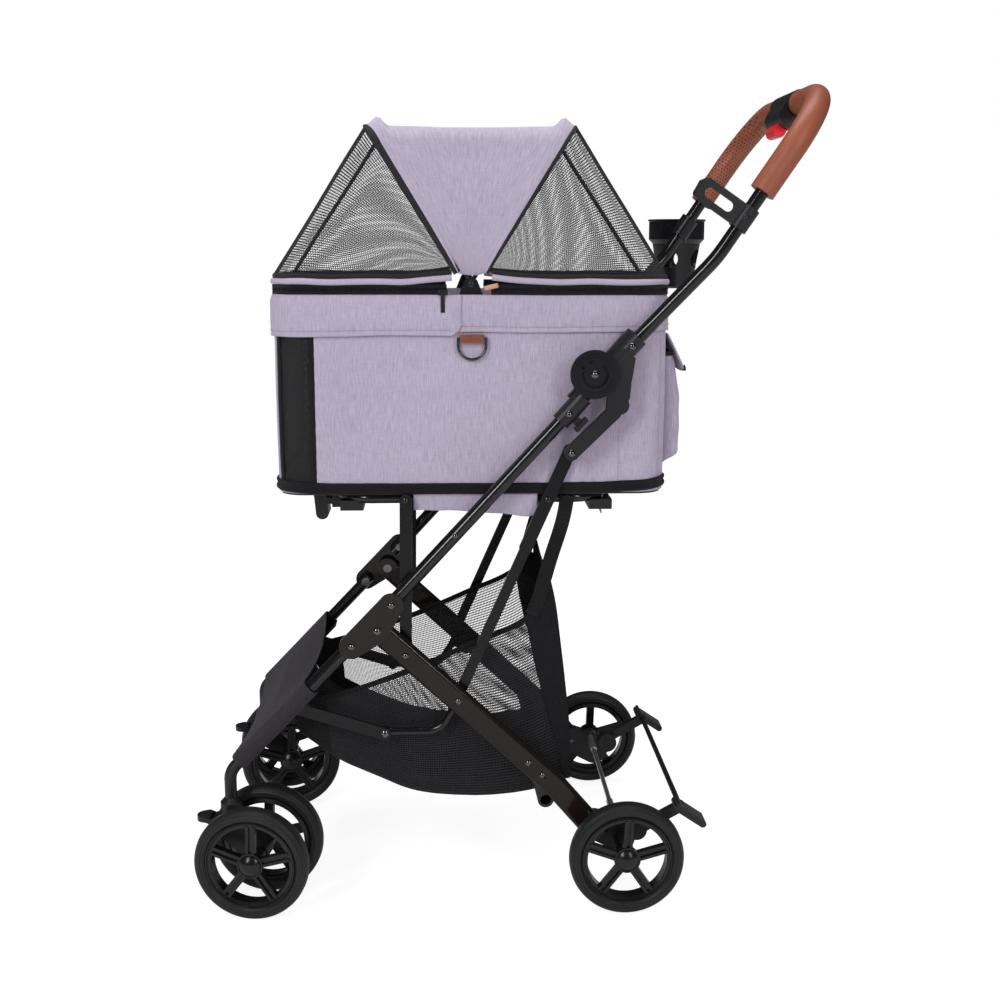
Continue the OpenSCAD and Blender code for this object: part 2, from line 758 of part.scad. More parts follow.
module rear_rivets() {
  color([0.1, 0.1, 0.1]) placed() both() {
    for (p = [cross_a, cross_b]) {
      pin(p, leg_in - 4.4, leg_out, 3);
      dome(p, leg_out, rivet_d / 2 - 0.3, 2.2);
    }
    for (p = [strut_foot, post_foot]) {
      pin(p, leg_out - 1.4, leg_out, 3);
      dome(p, leg_out, rivet_d / 2 - 0.3, 2.2);
    }
    pin(leg_foot + [-6, 8], leg_in - 10, leg_out, 3);
    dome(leg_foot + [-6, 8], leg_out, rivet_d / 2 - 0.3, 2.2);
    pin(link_rear, flat_in - 10.6, flat_out + 0.2, 2.6);
    dome(link_rear, flat_out + 0.2, 4.4, 1.6);
  }
}

module lower_arms() {
  y = flat_in - 5.6;
  a = [-77, 244];
  b = [-60, 230];
  color([0.03, 0.03, 0.03]) placed() both() difference() {
    union() {
      rod([xyz(a, y), xyz([-98, 210], y), xyz(link_rear, y)], 28, 5);
      slab(y - 2, y + 3) bar2(a, b, 11);
      pin(b, y - 3, leg_in - 0.2, 4.2);
      pin(link_rear, y - 4.6, flat_in - 0.4, 6.6);
    }
    pin(link_rear, 0, 200, 2.8);
  }
}

module wheel_brackets() {
  color([0.05, 0.05, 0.05]) placed() both() difference() {
    union() {
      slab(leg_in - 12, leg_in - 0.3) {
        bar2(leg_foot + [-7, 10], axle, 36);
        bar2(axle, brake_pivot, 26);
        dot(axle + [-6.6, 21], 11);
      }
      pin(brake_pivot, leg_in - 15.5, leg_in - 11, 13.5);
      pin(brake_pivot, leg_in - 16.3, leg_in - 11, 6);
      pin(axle, leg_in - 12, rear_y - tyre_w / 2 - 4.2, 8.6);
    }
    pin(axle, 0, 300, 4.1);
    pin(brake_pivot, 0, 300, 3.2);
    pin(leg_foot + [-6, 8], 0, 300, 3.2);
    pin(axle + [-6.6, 23], 0, 300, 3.2);
  }
}

module brake_link_rod() {
  p = axle + [-6.6, 23];
  color([0.6, 0.6, 0.62]) placed() {
    pin(p, -leg_in + 1, leg_in - 1, 3);
    both() pin(p, leg_in - 62, leg_in - 12.3, 4.4);
  }
}

module brake_pedals() {
  b = brake_pivot;
  y0 = leg_in + 0.5;
  t = b + [54, 30.5];
  color([0.05, 0.05, 0.05]) placed() {
    both() {
      slab(y0, y0 + 9) {
        dot(b, 12.5);
        bar2(b, t, 13);
      }
      pin(b, leg_in - 16.2, y0 + 2, 3);
      slab(y0, y0 + 27) {
        bar2(t + [-6, 6], t + [25, -15], 9);
        bar2(t + [-5, 10], t + [-4, 3], 5);
      }
    }
    pin(t, -y0 - 1, y0 + 1, 3.4);
  }
}

// ---- wheels -----------------------------------------------------------------

// Built on +Y: the outer face looks along +Y
module tyre(x, y) {
  w = tyre_w / 2;
  r = wheel_r;
  translate([x, y, 70]) rotate([-90, 0, 0]) rotate_extrude($fn = 128) {
    polygon([[r - 14, -w + 5], [r - 12, -w + 2.5], [r - 7, -w + 1], [r - 3.5, -w + 2.2],
      [r - 0.8, -w + 5.5], [r, -w + 9], [r, w - 9], [r - 0.8, w - 5.5], [r - 3.5, w - 2.2],
      [r - 5, w - 2], [r - 5.6, w - 0.8], [r - 8.5, w - 0.6], [r - 9.2, w - 1.6], [r - 12, w - 2],
      [r - 14, w - 4]]);
  }
}

module rim(x, y, hub_in) {
  w = tyre_w / 2;
  r = wheel_r - 14.2;
  translate([x, y, 70]) rotate([-90, 0, 0]) difference() {
    union() {
      rotate_extrude($fn = 128) polygon([[r - 6.6, -w + 3], [r - 1.2, -w + 3], [r, -w + 5], [r, w - 4],
        [r - 1, w - 2.6], [r - 2.4, w - 2.2], [r - 3.4, w - 3.8], [r - 7.6, w - 5.4], [r - 7.6, -w + 5]]);
      translate([0, 0, -hub_in]) cylinder(r = 12, h = hub_in + w - 1, $fn = 64);
      translate([0, 0, w - 9]) cylinder(r = 16, h = 6, $fn = 64);
      for (k = [0:4]) rotate([0, 0, -88 + 72 * k]) {
        translate([8, -5.6, w - 13]) cube([r - 14, 11.2, 6.2]);
        translate([8, -5.6, w - 8]) cube([r - 14, 3.6, 4]);
        translate([8, 2, w - 8]) cube([r - 14, 3.6, 4]);
      }
      translate([0, 0, w - 1.6]) intersection() {
        translate([0, 0, -13.6]) sphere(r = 19.2, $fn = 64);
        cylinder(r = 13.4, h = 8, $fn = 64);
      }
    }
    translate([0, 0, -hub_in - 1]) cylinder(r = 4.25, h = hub_in + w, $fn = 40);
  }
}

module left_rear_tyre() {
  color([0.06, 0.06, 0.07]) placed() translate([0, 0, wheel_lift]) mirror([0, 1, 0]) tyre(rear_axle_x, rear_y);
}

module left_rear_rim() {
  color([0.04, 0.04, 0.04]) placed() translate([0, 0, wheel_lift]) mirror([0, 1, 0])
    rim(rear_axle_x, rear_y, tyre_w / 2 + 4);
}

module right_rear_tyre() {
  color([0.06, 0.06, 0.07]) placed() translate([0, 0, wheel_lift]) tyre(rear_axle_x, rear_y);
}

module right_rear_rim() {
  color([0.04, 0.04, 0.04]) placed() translate([0, 0, wheel_lift]) rim(rear_axle_x, rear_y, tyre_w / 2 + 4);
}

wheel_lift = 0;

// ---- front frame and casters ------------------------------------------------

front_dir = unit(p3 - front_foot);

module front_legs() {
  a = xyz(p3 + 8 * front_dir, tube_y);
  b = xyz(front_foot + 14 * front_dir, tube_y);
  c = front_foot + 72 * front_dir;
  color([0.03, 0.03, 0.03]) placed() both() {
    difference() {
      straight(a, b) ring2(tube_r, tube_wall);
      pin(p3, 0, 200, 3.9);
    }
    difference() {
      pin(c, 0, tube_y - tube_r + 1, 7);
      pin(c, -1, tube_y + 2, 5.8);
      straight(a, b) circle(r = tube_r - 0.7, $fn = 48);
    }
  }
}

module lower_links() {
  color([0.03, 0.03, 0.03]) placed() both() difference() {
    slab(flat_in, flat_out) bar2(link_rear, link_front, 15);
    pin(link_rear, 0, 200, 2.9);
  }
}

module front_panel() {
  a = front_foot + 10 * front_dir;
  b = front_foot + 138 * front_dir;
  c = front_foot + 72 * front_dir;
  n = [-front_dir[1], front_dir[0]];
  color([0.1, 0.1, 0.11]) placed() difference() {
    union() {
      both() straight(xyz(a, tube_y), xyz(b, tube_y)) circle(r = tube_r + 1.8, $fn = 48);
      slab(-tube_y, tube_y) polygon([a + (tube_r + 0.3) * n, b + (tube_r + 0.3) * n,
        b + (tube_r + 1.5) * n, a + (tube_r + 1.5) * n]);
    }
    both() straight(xyz(a, tube_y), xyz(b, tube_y), 1) circle(r = tube_r + 0.2, $fn = 48);
    pin(c, -tube_y, tube_y, 7.4);
  }
}

module caster_brackets() {
  f = front_foot;
  top = f + 10 * front_dir;
  color([0.04, 0.04, 0.04]) placed() both() {
    difference() {
      union() {
        straight(xyz(f + 34 * front_dir, tube_y), xyz(f + 13 * front_dir, tube_y))
          circle(r = tube_r - tube_wall - 0.15, $fn = 40);
        rod([xyz(f + 13.6 * front_dir, tube_y), [swivel_x, caster_y, f[1] - 5],
          [swivel_x, caster_y, 116]], 24, tube_r - 0.6);
        translate([swivel_x, caster_y, 115]) cylinder(r = 13, h = 17, $fn = 48);
        translate([swivel_x, caster_y, 131.9]) cylinder(r1 = 13, r2 = 7.6, h = 6, $fn = 48);
        dome(f, tube_y + tube_r - 1.2, 4.4, 2.4);
      }
      translate([swivel_x, caster_y, 110]) cylinder(r = 5.3, h = 20, $fn = 40);
    }
  }
}

// Turns a caster about its swivel axis; s is its side
module swivelled(s) {
  placed() translate([swivel_x, s * caster_y, 0]) rotate([0, 0, s < 0 ? left_swivel : right_swivel])
    translate([-swivel_x, 0, 0]) children();
}

lock_p = [swivel_x - 19.5, 107];

module caster_fork(s) {
  x = swivel_x;
  color([0.05, 0.05, 0.05]) swivelled(s) {
    translate([x, 0, 92]) cylinder(r = 14.5, h = 22.7, $fn = 48);
    translate([x, 0, 114]) cylinder(r = 5, h = 14.5, $fn = 40);
    slab(-13.6, 13.6) {
      bar2([x + 2, 96], [caster_x, 70], 26);
      polygon([[x, 112], [x + 14, 108], [caster_x + 11, 78], [caster_x - 12, 65], [x - 10, 90]]);
    }
    slab(-7.4, 7.4) {
      dot(lock_p, 5.3);
      translate(lock_p + [0, -5.3]) square([12, 10.6]);
    }
    pin(lock_p, -11.6, 11.6, 2.2);
    pin([caster_x, 70], -caster_pair / 2 - 12, caster_pair / 2 + 12, 4);
    pin([caster_x, 70], -15, 15, 9);
  }
}

module caster_lock(s) {
  p = lock_p;
  color([0.06, 0.06, 0.06]) swivelled(s) difference() {
    union() {
      for (y = [-1, 1]) slab(y * 9.8 - 1.9, y * 9.8 + 1.9) {
        dot(p, 5.6);
        bar2(p, p + [-11, 3.4], 7);
      }
      slab(-11.7, 11.7) bar2(p + [-10.5, 3.6], p + [-13, 3.4], 7);
      translate([p[0] - 12, 0, p[1] - 0.1]) cylinder(r = 11.7, h = 6.6, $fn = 48);
    }
    translate([p[0] - 5.8, -7.9, p[1] - 8]) cube([15, 15.8, 16]);
    pin(p, -20, 20, 2.3);
  }
}

module front_tyres(s) {
  color([0.06, 0.06, 0.07]) swivelled(s) for (k = [0, 1])
    mirror([0, k, 0]) tyre(caster_x, caster_pair / 2);
}

module front_rims(s) {
  color([0.04, 0.04, 0.04]) swivelled(s) for (k = [0, 1])
    mirror([0, k, 0]) rim(caster_x, caster_pair / 2, caster_pair / 2 - 15.4);
}

module left_caster_fork() {
  caster_fork(-1);
}

module right_caster_fork() {
  caster_fork(1);
}

module left_caster_lock() {
  caster_lock(-1);
}

module right_caster_lock() {
  caster_lock(1);
}

module left_front_tyres() {
  front_tyres(-1);
}

module right_front_tyres() {
  front_tyres(1);
}

module left_front_rims() {
  front_rims(-1);
}

module right_front_rims() {
  front_rims(1);
}

// ---- storage basket ---------------------------------------------------------

module storage_basket() {
  h = basket_w / 2;
  t = basket_t;
  o = [[-266, 268], [-270, 214], [-200, 166], [-130, 136], [-70, 126], [-24, 124], [20, 137],
    [62, 146], [50, 280], [38, 412], [30, 412], [4, 357], [-60, 322], [-132, 290]];
  i = [[-263.4, 290], [-267.2, 215.4], [-199, 168.6], [-129.2, 138.6], [-69.6, 128.4],
    [-24.2, 126.5], [19.6, 139.4], [59.4, 148.4], [47.6, 280], [35.4, 430], [0, 500], [-200, 500]];
  color([0.05, 0.05, 0.05]) placed() {
    difference() {
      slab(-h, h) polygon(o);
      slab(-h + t, h - t) polygon(i);
    }
    both() slab(h - t, h) polygon([[36, 490], [58, 490], [42, 400], [24, 396]]);
  }
}

main_tubes();
gusset_plates();
frame_rivets();
hub_lower_housings();
storage_basket();
handle_tube();
handle_grip();
trigger_housing();
fold_button();
hub_upper_housings();
hub_covers();
handle_rivets();
latch_loop();
cup_holder();
struts();
posts();
platform_ring();
platform_feet();
release_knob();
carrier_shell();
carrier_cuff();
carrier_flaps();
floor_mat();
zipper_track();
zip_slider();
front_window();
rear_pocket();
pocket_flap();
bow_brackets();
front_bow();
rear_bow();
canopy_top();
canopy_front();
canopy_rear();
ring_tabs();
left_d_ring();
right_d_ring();
rear_legs();
lower_arms();
rear_cross_tube();
rear_rivets();
wheel_brackets();
brake_link_rod();
brake_pedals();
left_rear_tyre();
left_rear_rim();
right_rear_tyre();
right_rear_rim();
front_legs();
lower_links();
front_panel();
caster_brackets();
left_caster_fork();
right_caster_fork();
left_caster_lock();
right_caster_lock();
left_front_tyres();
left_front_rims();
right_front_tyres();
right_front_rims();
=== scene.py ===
import math

import bmesh
import bpy
import numpy as np
from mathutils import Euler, Matrix, Vector, noise


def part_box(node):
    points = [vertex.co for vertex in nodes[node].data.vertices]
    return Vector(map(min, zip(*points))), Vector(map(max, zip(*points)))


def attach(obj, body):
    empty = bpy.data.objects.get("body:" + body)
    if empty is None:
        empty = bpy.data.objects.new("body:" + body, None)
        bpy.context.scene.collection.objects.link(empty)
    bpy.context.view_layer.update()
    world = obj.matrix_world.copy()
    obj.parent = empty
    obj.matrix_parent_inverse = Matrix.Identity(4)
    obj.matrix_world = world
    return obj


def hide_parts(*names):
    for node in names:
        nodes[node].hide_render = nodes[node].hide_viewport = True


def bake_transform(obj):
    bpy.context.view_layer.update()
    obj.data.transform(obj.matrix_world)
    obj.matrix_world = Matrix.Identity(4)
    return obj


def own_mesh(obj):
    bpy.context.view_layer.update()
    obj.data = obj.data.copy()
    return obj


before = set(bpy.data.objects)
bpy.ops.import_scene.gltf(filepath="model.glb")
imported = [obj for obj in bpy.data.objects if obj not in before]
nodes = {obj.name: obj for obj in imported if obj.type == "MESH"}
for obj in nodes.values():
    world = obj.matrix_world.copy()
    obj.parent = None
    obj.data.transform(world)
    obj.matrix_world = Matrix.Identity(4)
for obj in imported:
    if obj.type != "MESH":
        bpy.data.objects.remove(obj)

scene = bpy.context.scene
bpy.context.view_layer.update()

# ---- Camera and studio ------------------------------------------------------
# The stroller stands side on, a little below eye level, on a seamless white sweep. Two tall
# softboxes stand left and right of the camera and a wide one hangs overhead.

camera_data = bpy.data.cameras.new("camera")
camera_data.lens = 47.11
camera = bpy.data.objects.new("camera", camera_data)
camera.location = (-0.0932, -1.6799, 0.7970)
camera_turn = Euler((math.radians(79.172), 0, math.radians(-2.597))).to_matrix()
camera.rotation_euler = (camera_turn @ Matrix.Rotation(math.radians(0.12), 3, "Z")).to_euler()
scene.collection.objects.link(camera)
scene.camera = camera
scene.view_settings.view_transform = "Standard"


class Value:
    """One output of a shader node; arithmetic on it adds Math nodes."""

    def __init__(self, finish, output):
        self.finish, self.output = finish, output

    def maths(self, operation, *others):
        return self.finish.node("ShaderNodeMath", {"operation": operation}, (self, *others))

    def __add__(self, other):
        return self.maths("ADD", other)

    __radd__ = __add__

    def __sub__(self, other):
        return self.maths("SUBTRACT", other)

    def __rsub__(self, other):
        return self.maths("MULTIPLY_ADD", -1.0, other)

    def __mul__(self, other):
        return self.maths("MULTIPLY", other)

    __rmul__ = __mul__

    def __truediv__(self, other):
        return self.maths("DIVIDE", other)


class Finish:
    """A procedural material; node() adds any shader node to it."""

    def __init__(self, name):
        self.material = bpy.data.materials.new(name)
        self.material.use_nodes = True
        self.tree = self.material.node_tree
        self.tree.nodes.clear()

    def node(self, kind, settings=None, sockets=None, out=0):
        made = self.tree.nodes.new(kind)
        for key, value in (settings or {}).items():
            if key == "stops":
                ramp = made.color_ramp
                for i, (place, tone) in enumerate(value):
                    stop = ramp.elements[i] if i < 2 else ramp.elements.new(place)
                    stop.position = place
                    stop.color = (*tone, 1) if hasattr(tone, "__len__") else (tone, tone, tone, 1)
            else:
                setattr(made, key, value)
        pairs = sockets.items() if isinstance(sockets, dict) else enumerate(sockets or ())
        for key, value in pairs:
            if isinstance(value, Value):
                self.tree.links.new(value.output, made.inputs[key])
            else:
                made.inputs[key].default_value = value
        return Value(self, made.outputs[out]) if len(made.outputs) else None

    def blend(self, share, a, b):
        a, b = [(*c, 1) if isinstance(c, tuple) and len(c) == 3 else c for c in (a, b)]
        return self.node("ShaderNodeMix", {"data_type": "RGBA"}, {0: share, 6: a, 7: b}, 2)

    def speckle(self, place, scale, detail=2.0, stretch=(1, 1, 1)):
        """Noise from 0 to 1, scale features to the metre"""
        spot = self.node("ShaderNodeMapping", {}, {"Vector": place, "Scale": stretch})
        return self.node("ShaderNodeTexNoise", {}, {"Vector": spot, "Scale": scale,
                                                    "Detail": detail})

    def bumped(self, height, depth, under=None):
        sockets = {"Height": height, "Distance": depth, "Strength": 1.0}
        if under is not None:
            sockets["Normal"] = under
        return self.node("ShaderNodeBump", {}, sockets)

    def close(self, shader):
        self.node("ShaderNodeOutputMaterial", {}, {"Surface": shader})
        return self.material

    def surface(self, colour, roughness, **constants):
        sockets = {"Base Color": (*colour, 1) if isinstance(colour, tuple) else colour,
                   "Roughness": roughness}
        sockets.update({key.replace("_", " "): value for key, value in constants.items()})
        return self.close(self.node("ShaderNodeBsdfPrincipled", {}, sockets))


def seen_directly(finish):
    """1 where a camera or transmission ray arrives, 0 for the rays that light"""
    rays = [finish.node("ShaderNodeLightPath", {}, {}, k) for k in
            ("Is Camera Ray", "Is Transmission Ray")]
    return rays[0].maths("MAXIMUM", rays[1])


# The sweep glows to white where it is seen, and keeps enough tone to hold the shadow
SWEEP_TONE, SWEEP_GLOW = (0.36, 0.36, 0.36, 1), 0.85
sweep_finish = Finish("white_sweep")
sweep_paint = sweep_finish.node("ShaderNodeBsdfDiffuse", {}, {"Color": (0.8, 0.8, 0.8, 1)})
sweep_seen = sweep_finish.node("ShaderNodeBsdfDiffuse", {}, {"Color": SWEEP_TONE})
sweep_glow = sweep_finish.node("ShaderNodeEmission", {}, {"Color": (1, 1, 1, 1),
                                                         "Strength": SWEEP_GLOW})
sweep_seen = sweep_finish.node("ShaderNodeAddShader", {}, (sweep_seen, sweep_glow))
sweep_white = sweep_finish.close(sweep_finish.node(
    "ShaderNodeMixShader", {}, (seen_directly(sweep_finish), sweep_paint, sweep_seen)))
sweep_mesh = bpy.data.meshes.new("floor")
sweep_mesh.from_pydata([(-9, -9, 0), (9, -9, 0), (9, 9, 0), (-9, 9, 0)], [], [(0, 1, 2, 3)])
sweep_mesh.materials.append(sweep_white)
floor = bpy.data.objects.new("floor", sweep_mesh)
scene.collection.objects.link(floor)

# The room is white to the eye, dim as a light, and dark to reflections
ROOM_LIGHT, ROOM_REFLECTED, ROOM_SEEN = 0.45, 0.06, 1.0
world = bpy.data.worlds.new("studio")
world.use_nodes = True
world.node_tree.nodes.clear()
studio = Finish.__new__(Finish)
studio.tree = world.node_tree
dim, dark, bright = [
    studio.node("ShaderNodeBackground", {}, {"Color": (1, 1, 1, 1), "Strength": strength})
    for strength in (ROOM_LIGHT, ROOM_REFLECTED, ROOM_SEEN)]
mirrored = studio.node("ShaderNodeLightPath", {}, {}, "Is Glossy Ray")
dim = studio.node("ShaderNodeMixShader", {}, (mirrored, dim, dark))
studio_mix = studio.node("ShaderNodeMixShader", {}, (seen_directly(studio), dim, bright))
studio.node("ShaderNodeOutputWorld", {}, {"Surface": studio_mix})
scene.world = world

for lamp_name, lamp_place, lamp_size, lamp_power in (
        ("softbox_left", (-1.5, -2.1, 1.7), (0.45, 1.4), 30),
        ("softbox_right", (1.3, -2.3, 1.6), (0.35, 1.4), 17),
        ("softbox_top", (0.0, 0.1, 2.5), (1.6, 1.0), 20)):
    lamp_data = bpy.data.lights.new(lamp_name, "AREA")
    lamp_data.shape = "RECTANGLE"
    lamp_data.size, lamp_data.size_y = lamp_size
    lamp_data.energy = lamp_power
    lamp = bpy.data.objects.new(lamp_name, lamp_data)
    lamp.location = lamp_place
    lamp.rotation_euler = (Vector((0, 0, 0.5)) - Vector(lamp_place)).to_track_quat(
        "-Z", "Y").to_euler()
    scene.collection.objects.link(lamp)

# ---- Frame: tubes, plates and rivets ----------------------------------------
# Round and flat-oval steel tubes in a deep glossy black powder coat, pressed gusset plates,
# flat folding links, and domed black-chromed rivets set by machine.


def gloss_black(name, tone, roughness, level):
    """Powder coat: a faint orange peel, rubbed brighter here and there"""
    f = Finish(name)
    place = f.node("ShaderNodeTexCoord", {}, {}, "Object")
    peel = f.speckle(place, 900, 1)
    rubbed = f.speckle(place, 14, 4)
    colour = f.blend(rubbed, tone, tuple(1.7 * c for c in tone))
    return f.surface(colour, rubbed * 0.05 + (roughness - 0.025), Specular_IOR_Level=level,
                     Normal=f.bumped(peel, 0.00003))


def coat(material, *names):
    """Gives the CAD nodes' own meshes a finish"""
    for name in names:
        slots = nodes[name].data.materials
        slots.clear()
        slots.append(material)


tube_black = gloss_black("tube_black", (0.005, 0.005, 0.006), 0.15, 0.45)
leg_black = gloss_black("leg_black", (0.008, 0.0055, 0.0045), 0.10, 0.28)
link_black = gloss_black("link_black", (0.005, 0.005, 0.006), 0.20, 0.24)
coat(tube_black, "main_tubes", "handle_tube", "platform_ring", "rear_cross_tube",
     "front_legs", "lower_arms")
coat(leg_black, "gusset_plates", "rear_legs")
coat(link_black, "struts", "posts", "lower_links")


def metal(name, tone, roughness, grain=(1, 1, 1)):
    """Plated or bare metal with fine drawing lines and dull patches"""
    f = Finish(name)
    place = f.node("ShaderNodeTexCoord", {}, {}, "Object")
    lines = f.speckle(place, 700, 2, grain)
    dull = f.speckle(place, 60, 3)
    return f.surface(f.blend(dull, tone, tuple(0.7 * c for c in tone)),
                     lines * 0.08 + dull * 0.06 + roughness, Metallic=1.0,
                     Normal=f.bumped(lines, 0.00002))


rivet_chrome = metal("rivet_chrome", (0.17, 0.165, 0.17), 0.03)
bright_steel = metal("bright_steel", (0.70, 0.70, 0.71), 0.36, (1, 1, 0.05))
gun_metal = metal("gun_metal", (0.12, 0.12, 0.135), 0.20)
coat(rivet_chrome, "frame_rivets", "handle_rivets", "rear_rivets")
coat(bright_steel, "brake_link_rod")

# ---- Moulded fittings -------------------------------------------------------
# Hub housings, brackets, cup holder, latch, feet and brake pedals are injection moulded in
# black glass-filled nylon: a fine spark-eroded texture, dull on the flats.


def moulded(name, tone, roughness, texture=0.00005, level=0.4):
    """Satin plastic with a spark-eroded mould texture and handling marks"""
    f = Finish(name)
    place = f.node("ShaderNodeTexCoord", {}, {}, "Object")
    grain = f.speckle(place, 1500, 2)
    marks = f.speckle(place, 22, 5)
    return f.surface(f.blend(marks, tone, tuple(1.6 * c for c in tone)),
                     marks * 0.16 + grain * 0.08 + (roughness - 0.1), Specular_IOR_Level=level,
                     Normal=f.bumped(grain, texture))


nylon = moulded("nylon_black", (0.008, 0.008, 0.010), 0.38)
nylon_smooth = moulded("nylon_smooth", (0.006, 0.006, 0.008), 0.24, 0.00002)
rim_plastic = moulded("rim_plastic", (0.005, 0.005, 0.006), 0.22, 0.00002)
button_red = moulded("button_red", (0.62, 0.010, 0.020), 0.18, 0.00001, 0.5)
coat(nylon, "hub_lower_housings", "hub_upper_housings", "latch_loop", "platform_feet",
     "release_knob", "wheel_brackets", "brake_pedals", "caster_brackets", "left_caster_fork",
     "right_caster_fork", "left_caster_lock", "right_caster_lock", "trigger_housing")
coat(nylon_smooth, "hub_covers", "cup_holder", "bow_brackets", "front_bow", "rear_bow")
coat(button_red, "fold_button")

# ---- Wheels -----------------------------------------------------------------
# Five twin-rib spokes moulded in one with the rim, and a foamed EVA tyre with a stepped
# side wall and a fine cross-cut tread.


def tyre_rubber(name, centre, turn):
    """Foamed rubber: rings on the side wall, cross cuts on the tread, dust in the grain"""
    f = Finish(name)
    place = f.node("ShaderNodeTexCoord", {}, {}, "Object")
    put = f.node("ShaderNodeMapping", {"vector_type": "TEXTURE"},
                 {"Vector": place, "Location": centre, "Rotation": (0, 0, turn)})
    x, y, z = [f.node("ShaderNodeSeparateXYZ", {}, {"Vector": put}, k) for k in "XYZ"]
    radius = (x * x + z * z).maths("SQRT")
    angle = z.maths("ARCTAN2", x)
    cuts = (angle * 75).maths("SINE").maths("GREATER_THAN", 0.55)
    tread = radius.maths("GREATER_THAN", 0.0675) * cuts
    rings = (radius * 2600).maths("SINE") * 0.25
    dust = f.speckle(place, 260, 4)
    colour = f.blend(dust, (0.008, 0.008, 0.009), (0.024, 0.023, 0.024))
    return f.surface(colour, dust * 0.2 + 0.34, Specular_IOR_Level=0.30,
                     Normal=f.bumped(rings - tread + dust * 0.5, 0.00035))


for tyre, swivel in (("left_rear_tyre", 0), ("right_rear_tyre", 0),
                     ("left_front_tyres", -8.5), ("right_front_tyres", 9.0)):
    low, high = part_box(tyre)
    coat(tyre_rubber(tyre + "_rubber", (low + high) / 2, math.radians(swivel)), tyre)
coat(rim_plastic, "left_rear_rim", "right_rear_rim", "left_front_rims", "right_front_rims")

# ---- Handle grip ------------------------------------------------------------
# Brown leatherette over foam. The outer face is smooth and closely grained; the inner face
# is punched with rows of small holes, so that the hand stays dry.

HANDLE_LINE = Vector((math.cos(math.radians(56)), 0, math.sin(math.radians(56))))
HANDLE_UP = Vector((-HANDLE_LINE.z, 0, HANDLE_LINE.x))


def grip_leather():
    """Grained leatherette, punched in staggered rows on the faces that look inwards"""
    f = Finish("grip_leather")
    place = f.node("ShaderNodeTexCoord", {}, {}, "Object")
    grain = f.node("ShaderNodeTexVoronoi", {"feature": "DISTANCE_TO_EDGE"},
                   {"Vector": place, "Scale": 620}).maths("MINIMUM", 0.25)
    wear = f.speckle(place, 30, 5)
    normal = f.node("ShaderNodeNewGeometry", {}, {}, "Normal")
    facing, along, lift = [
        f.node("ShaderNodeVectorMath", {"operation": "DOT_PRODUCT"}, {0: a, 1: b}, "Value")
        for a, b in ((normal, HANDLE_UP), (place, HANDLE_LINE), (place, HANDLE_UP))]
    side = f.node("ShaderNodeSeparateXYZ", {}, {"Vector": place}, "Y")
    pitch = 0.0042
    row = (along / pitch).maths("FLOOR")
    u = (lift / pitch + row * 0.5).maths("FRACT") - 0.5
    v = (along / pitch).maths("FRACT") - 0.5
    inner = f.node("ShaderNodeSeparateXYZ", {}, {"Vector": normal}, "Y") * side.maths("SIGN")
    punched = inner.maths("LESS_THAN", -0.12) * facing.maths("GREATER_THAN", -0.9)
    hole = (u * u + v * v).maths("LESS_THAN", 0.055) * punched
    colour = f.blend(wear, (0.330, 0.092, 0.045), (0.250, 0.066, 0.033))
    # The punched holes are painted near black: painted shade inside each hole
    colour = f.blend(hole * 0.85, colour, (0.035, 0.012, 0.006))
    return f.surface(colour, wear * 0.12 + 0.34, Specular_IOR_Level=0.45,
                     Normal=f.bumped(grain * 2 - hole, 0.00012))


coat(grip_leather(), "handle_grip")

# ---- Carrier body -----------------------------------------------------------
# A sewn box of melange cloth over thin board: a long side panel each side, a rear panel with
# two boxing seams, piped along the base. Cloth pulls between its seams and puckers at them.

SHELL_MID = -56.5
SHELL_LENGTH, SHELL_WIDTH, SHELL_CORNER = 469.0, 277.0, 34.0
SHELL_BASE, SHELL_RIM = 509.8, 744.8
SIDE_SEAMS = (122.0, 170.0)
WINDOW_EDGE = -246.0


def melange(name, pale, deep, thread=1.0, sheen=0.25):
    """Two-tone woven cloth: streaks along warp and weft, slubs, and a fine thread relief"""
    f = Finish(name)
    place = f.node("ShaderNodeTexCoord", {}, {}, "UV")
    warp = f.speckle(place, 1.0, 2, (820 / thread, 55, 1))
    weft = f.speckle(place, 1.0, 2, (60, 760 / thread, 1))
    slub = f.speckle(place, 1.0, 1, (420, 160, 1))
    soft = f.speckle(place, 9, 3)
    u, v = [f.node("ShaderNodeSeparateXYZ", {}, {"Vector": place}, k) for k in "XY"]
    weave = (u * (3600 / thread)).maths("SINE") * (v * (3600 / thread)).maths("SINE")
    share = (warp * 1.15 + weft * 0.4 + slub * 0.35 + soft * 0.3 - 0.72) * 1.5
    colour = f.blend(share.maths("MINIMUM", 1.0).maths("MAXIMUM", 0.0), deep, pale)
    return f.surface(colour, soft * 0.1 + 0.82, Specular_IOR_Level=0.2, Sheen_Weight=sheen,
                     Sheen_Roughness=0.5, Normal=f.bumped(weave + warp + weft, 0.00012))


lilac = melange("lilac_melange", (0.508, 0.444, 0.574), (0.335, 0.298, 0.396))
lining = melange("lining_cloth", (0.040, 0.040, 0.044), (0.022, 0.022, 0.025))


def place_piece(name, points, faces, finish, corner_uvs=None):
    """A new mesh piece from points in millimetres"""
    mesh = bpy.data.meshes.new(name)
    mesh.from_pydata([(x / 1000, y / 1000, z / 1000) for x, y, z in points], [], faces)
    if corner_uvs is not None:
        layer = mesh.uv_layers.new(name="UVMap")
        layer.data.foreach_set("uv", np.asarray(corner_uvs, np.float32).ravel() / 1000)
    mesh.polygons.foreach_set("use_smooth", [True] * len(mesh.polygons))
    mesh.materials.append(finish)
    piece = bpy.data.objects.new(name, mesh)
    scene.collection.objects.link(piece)
    return piece


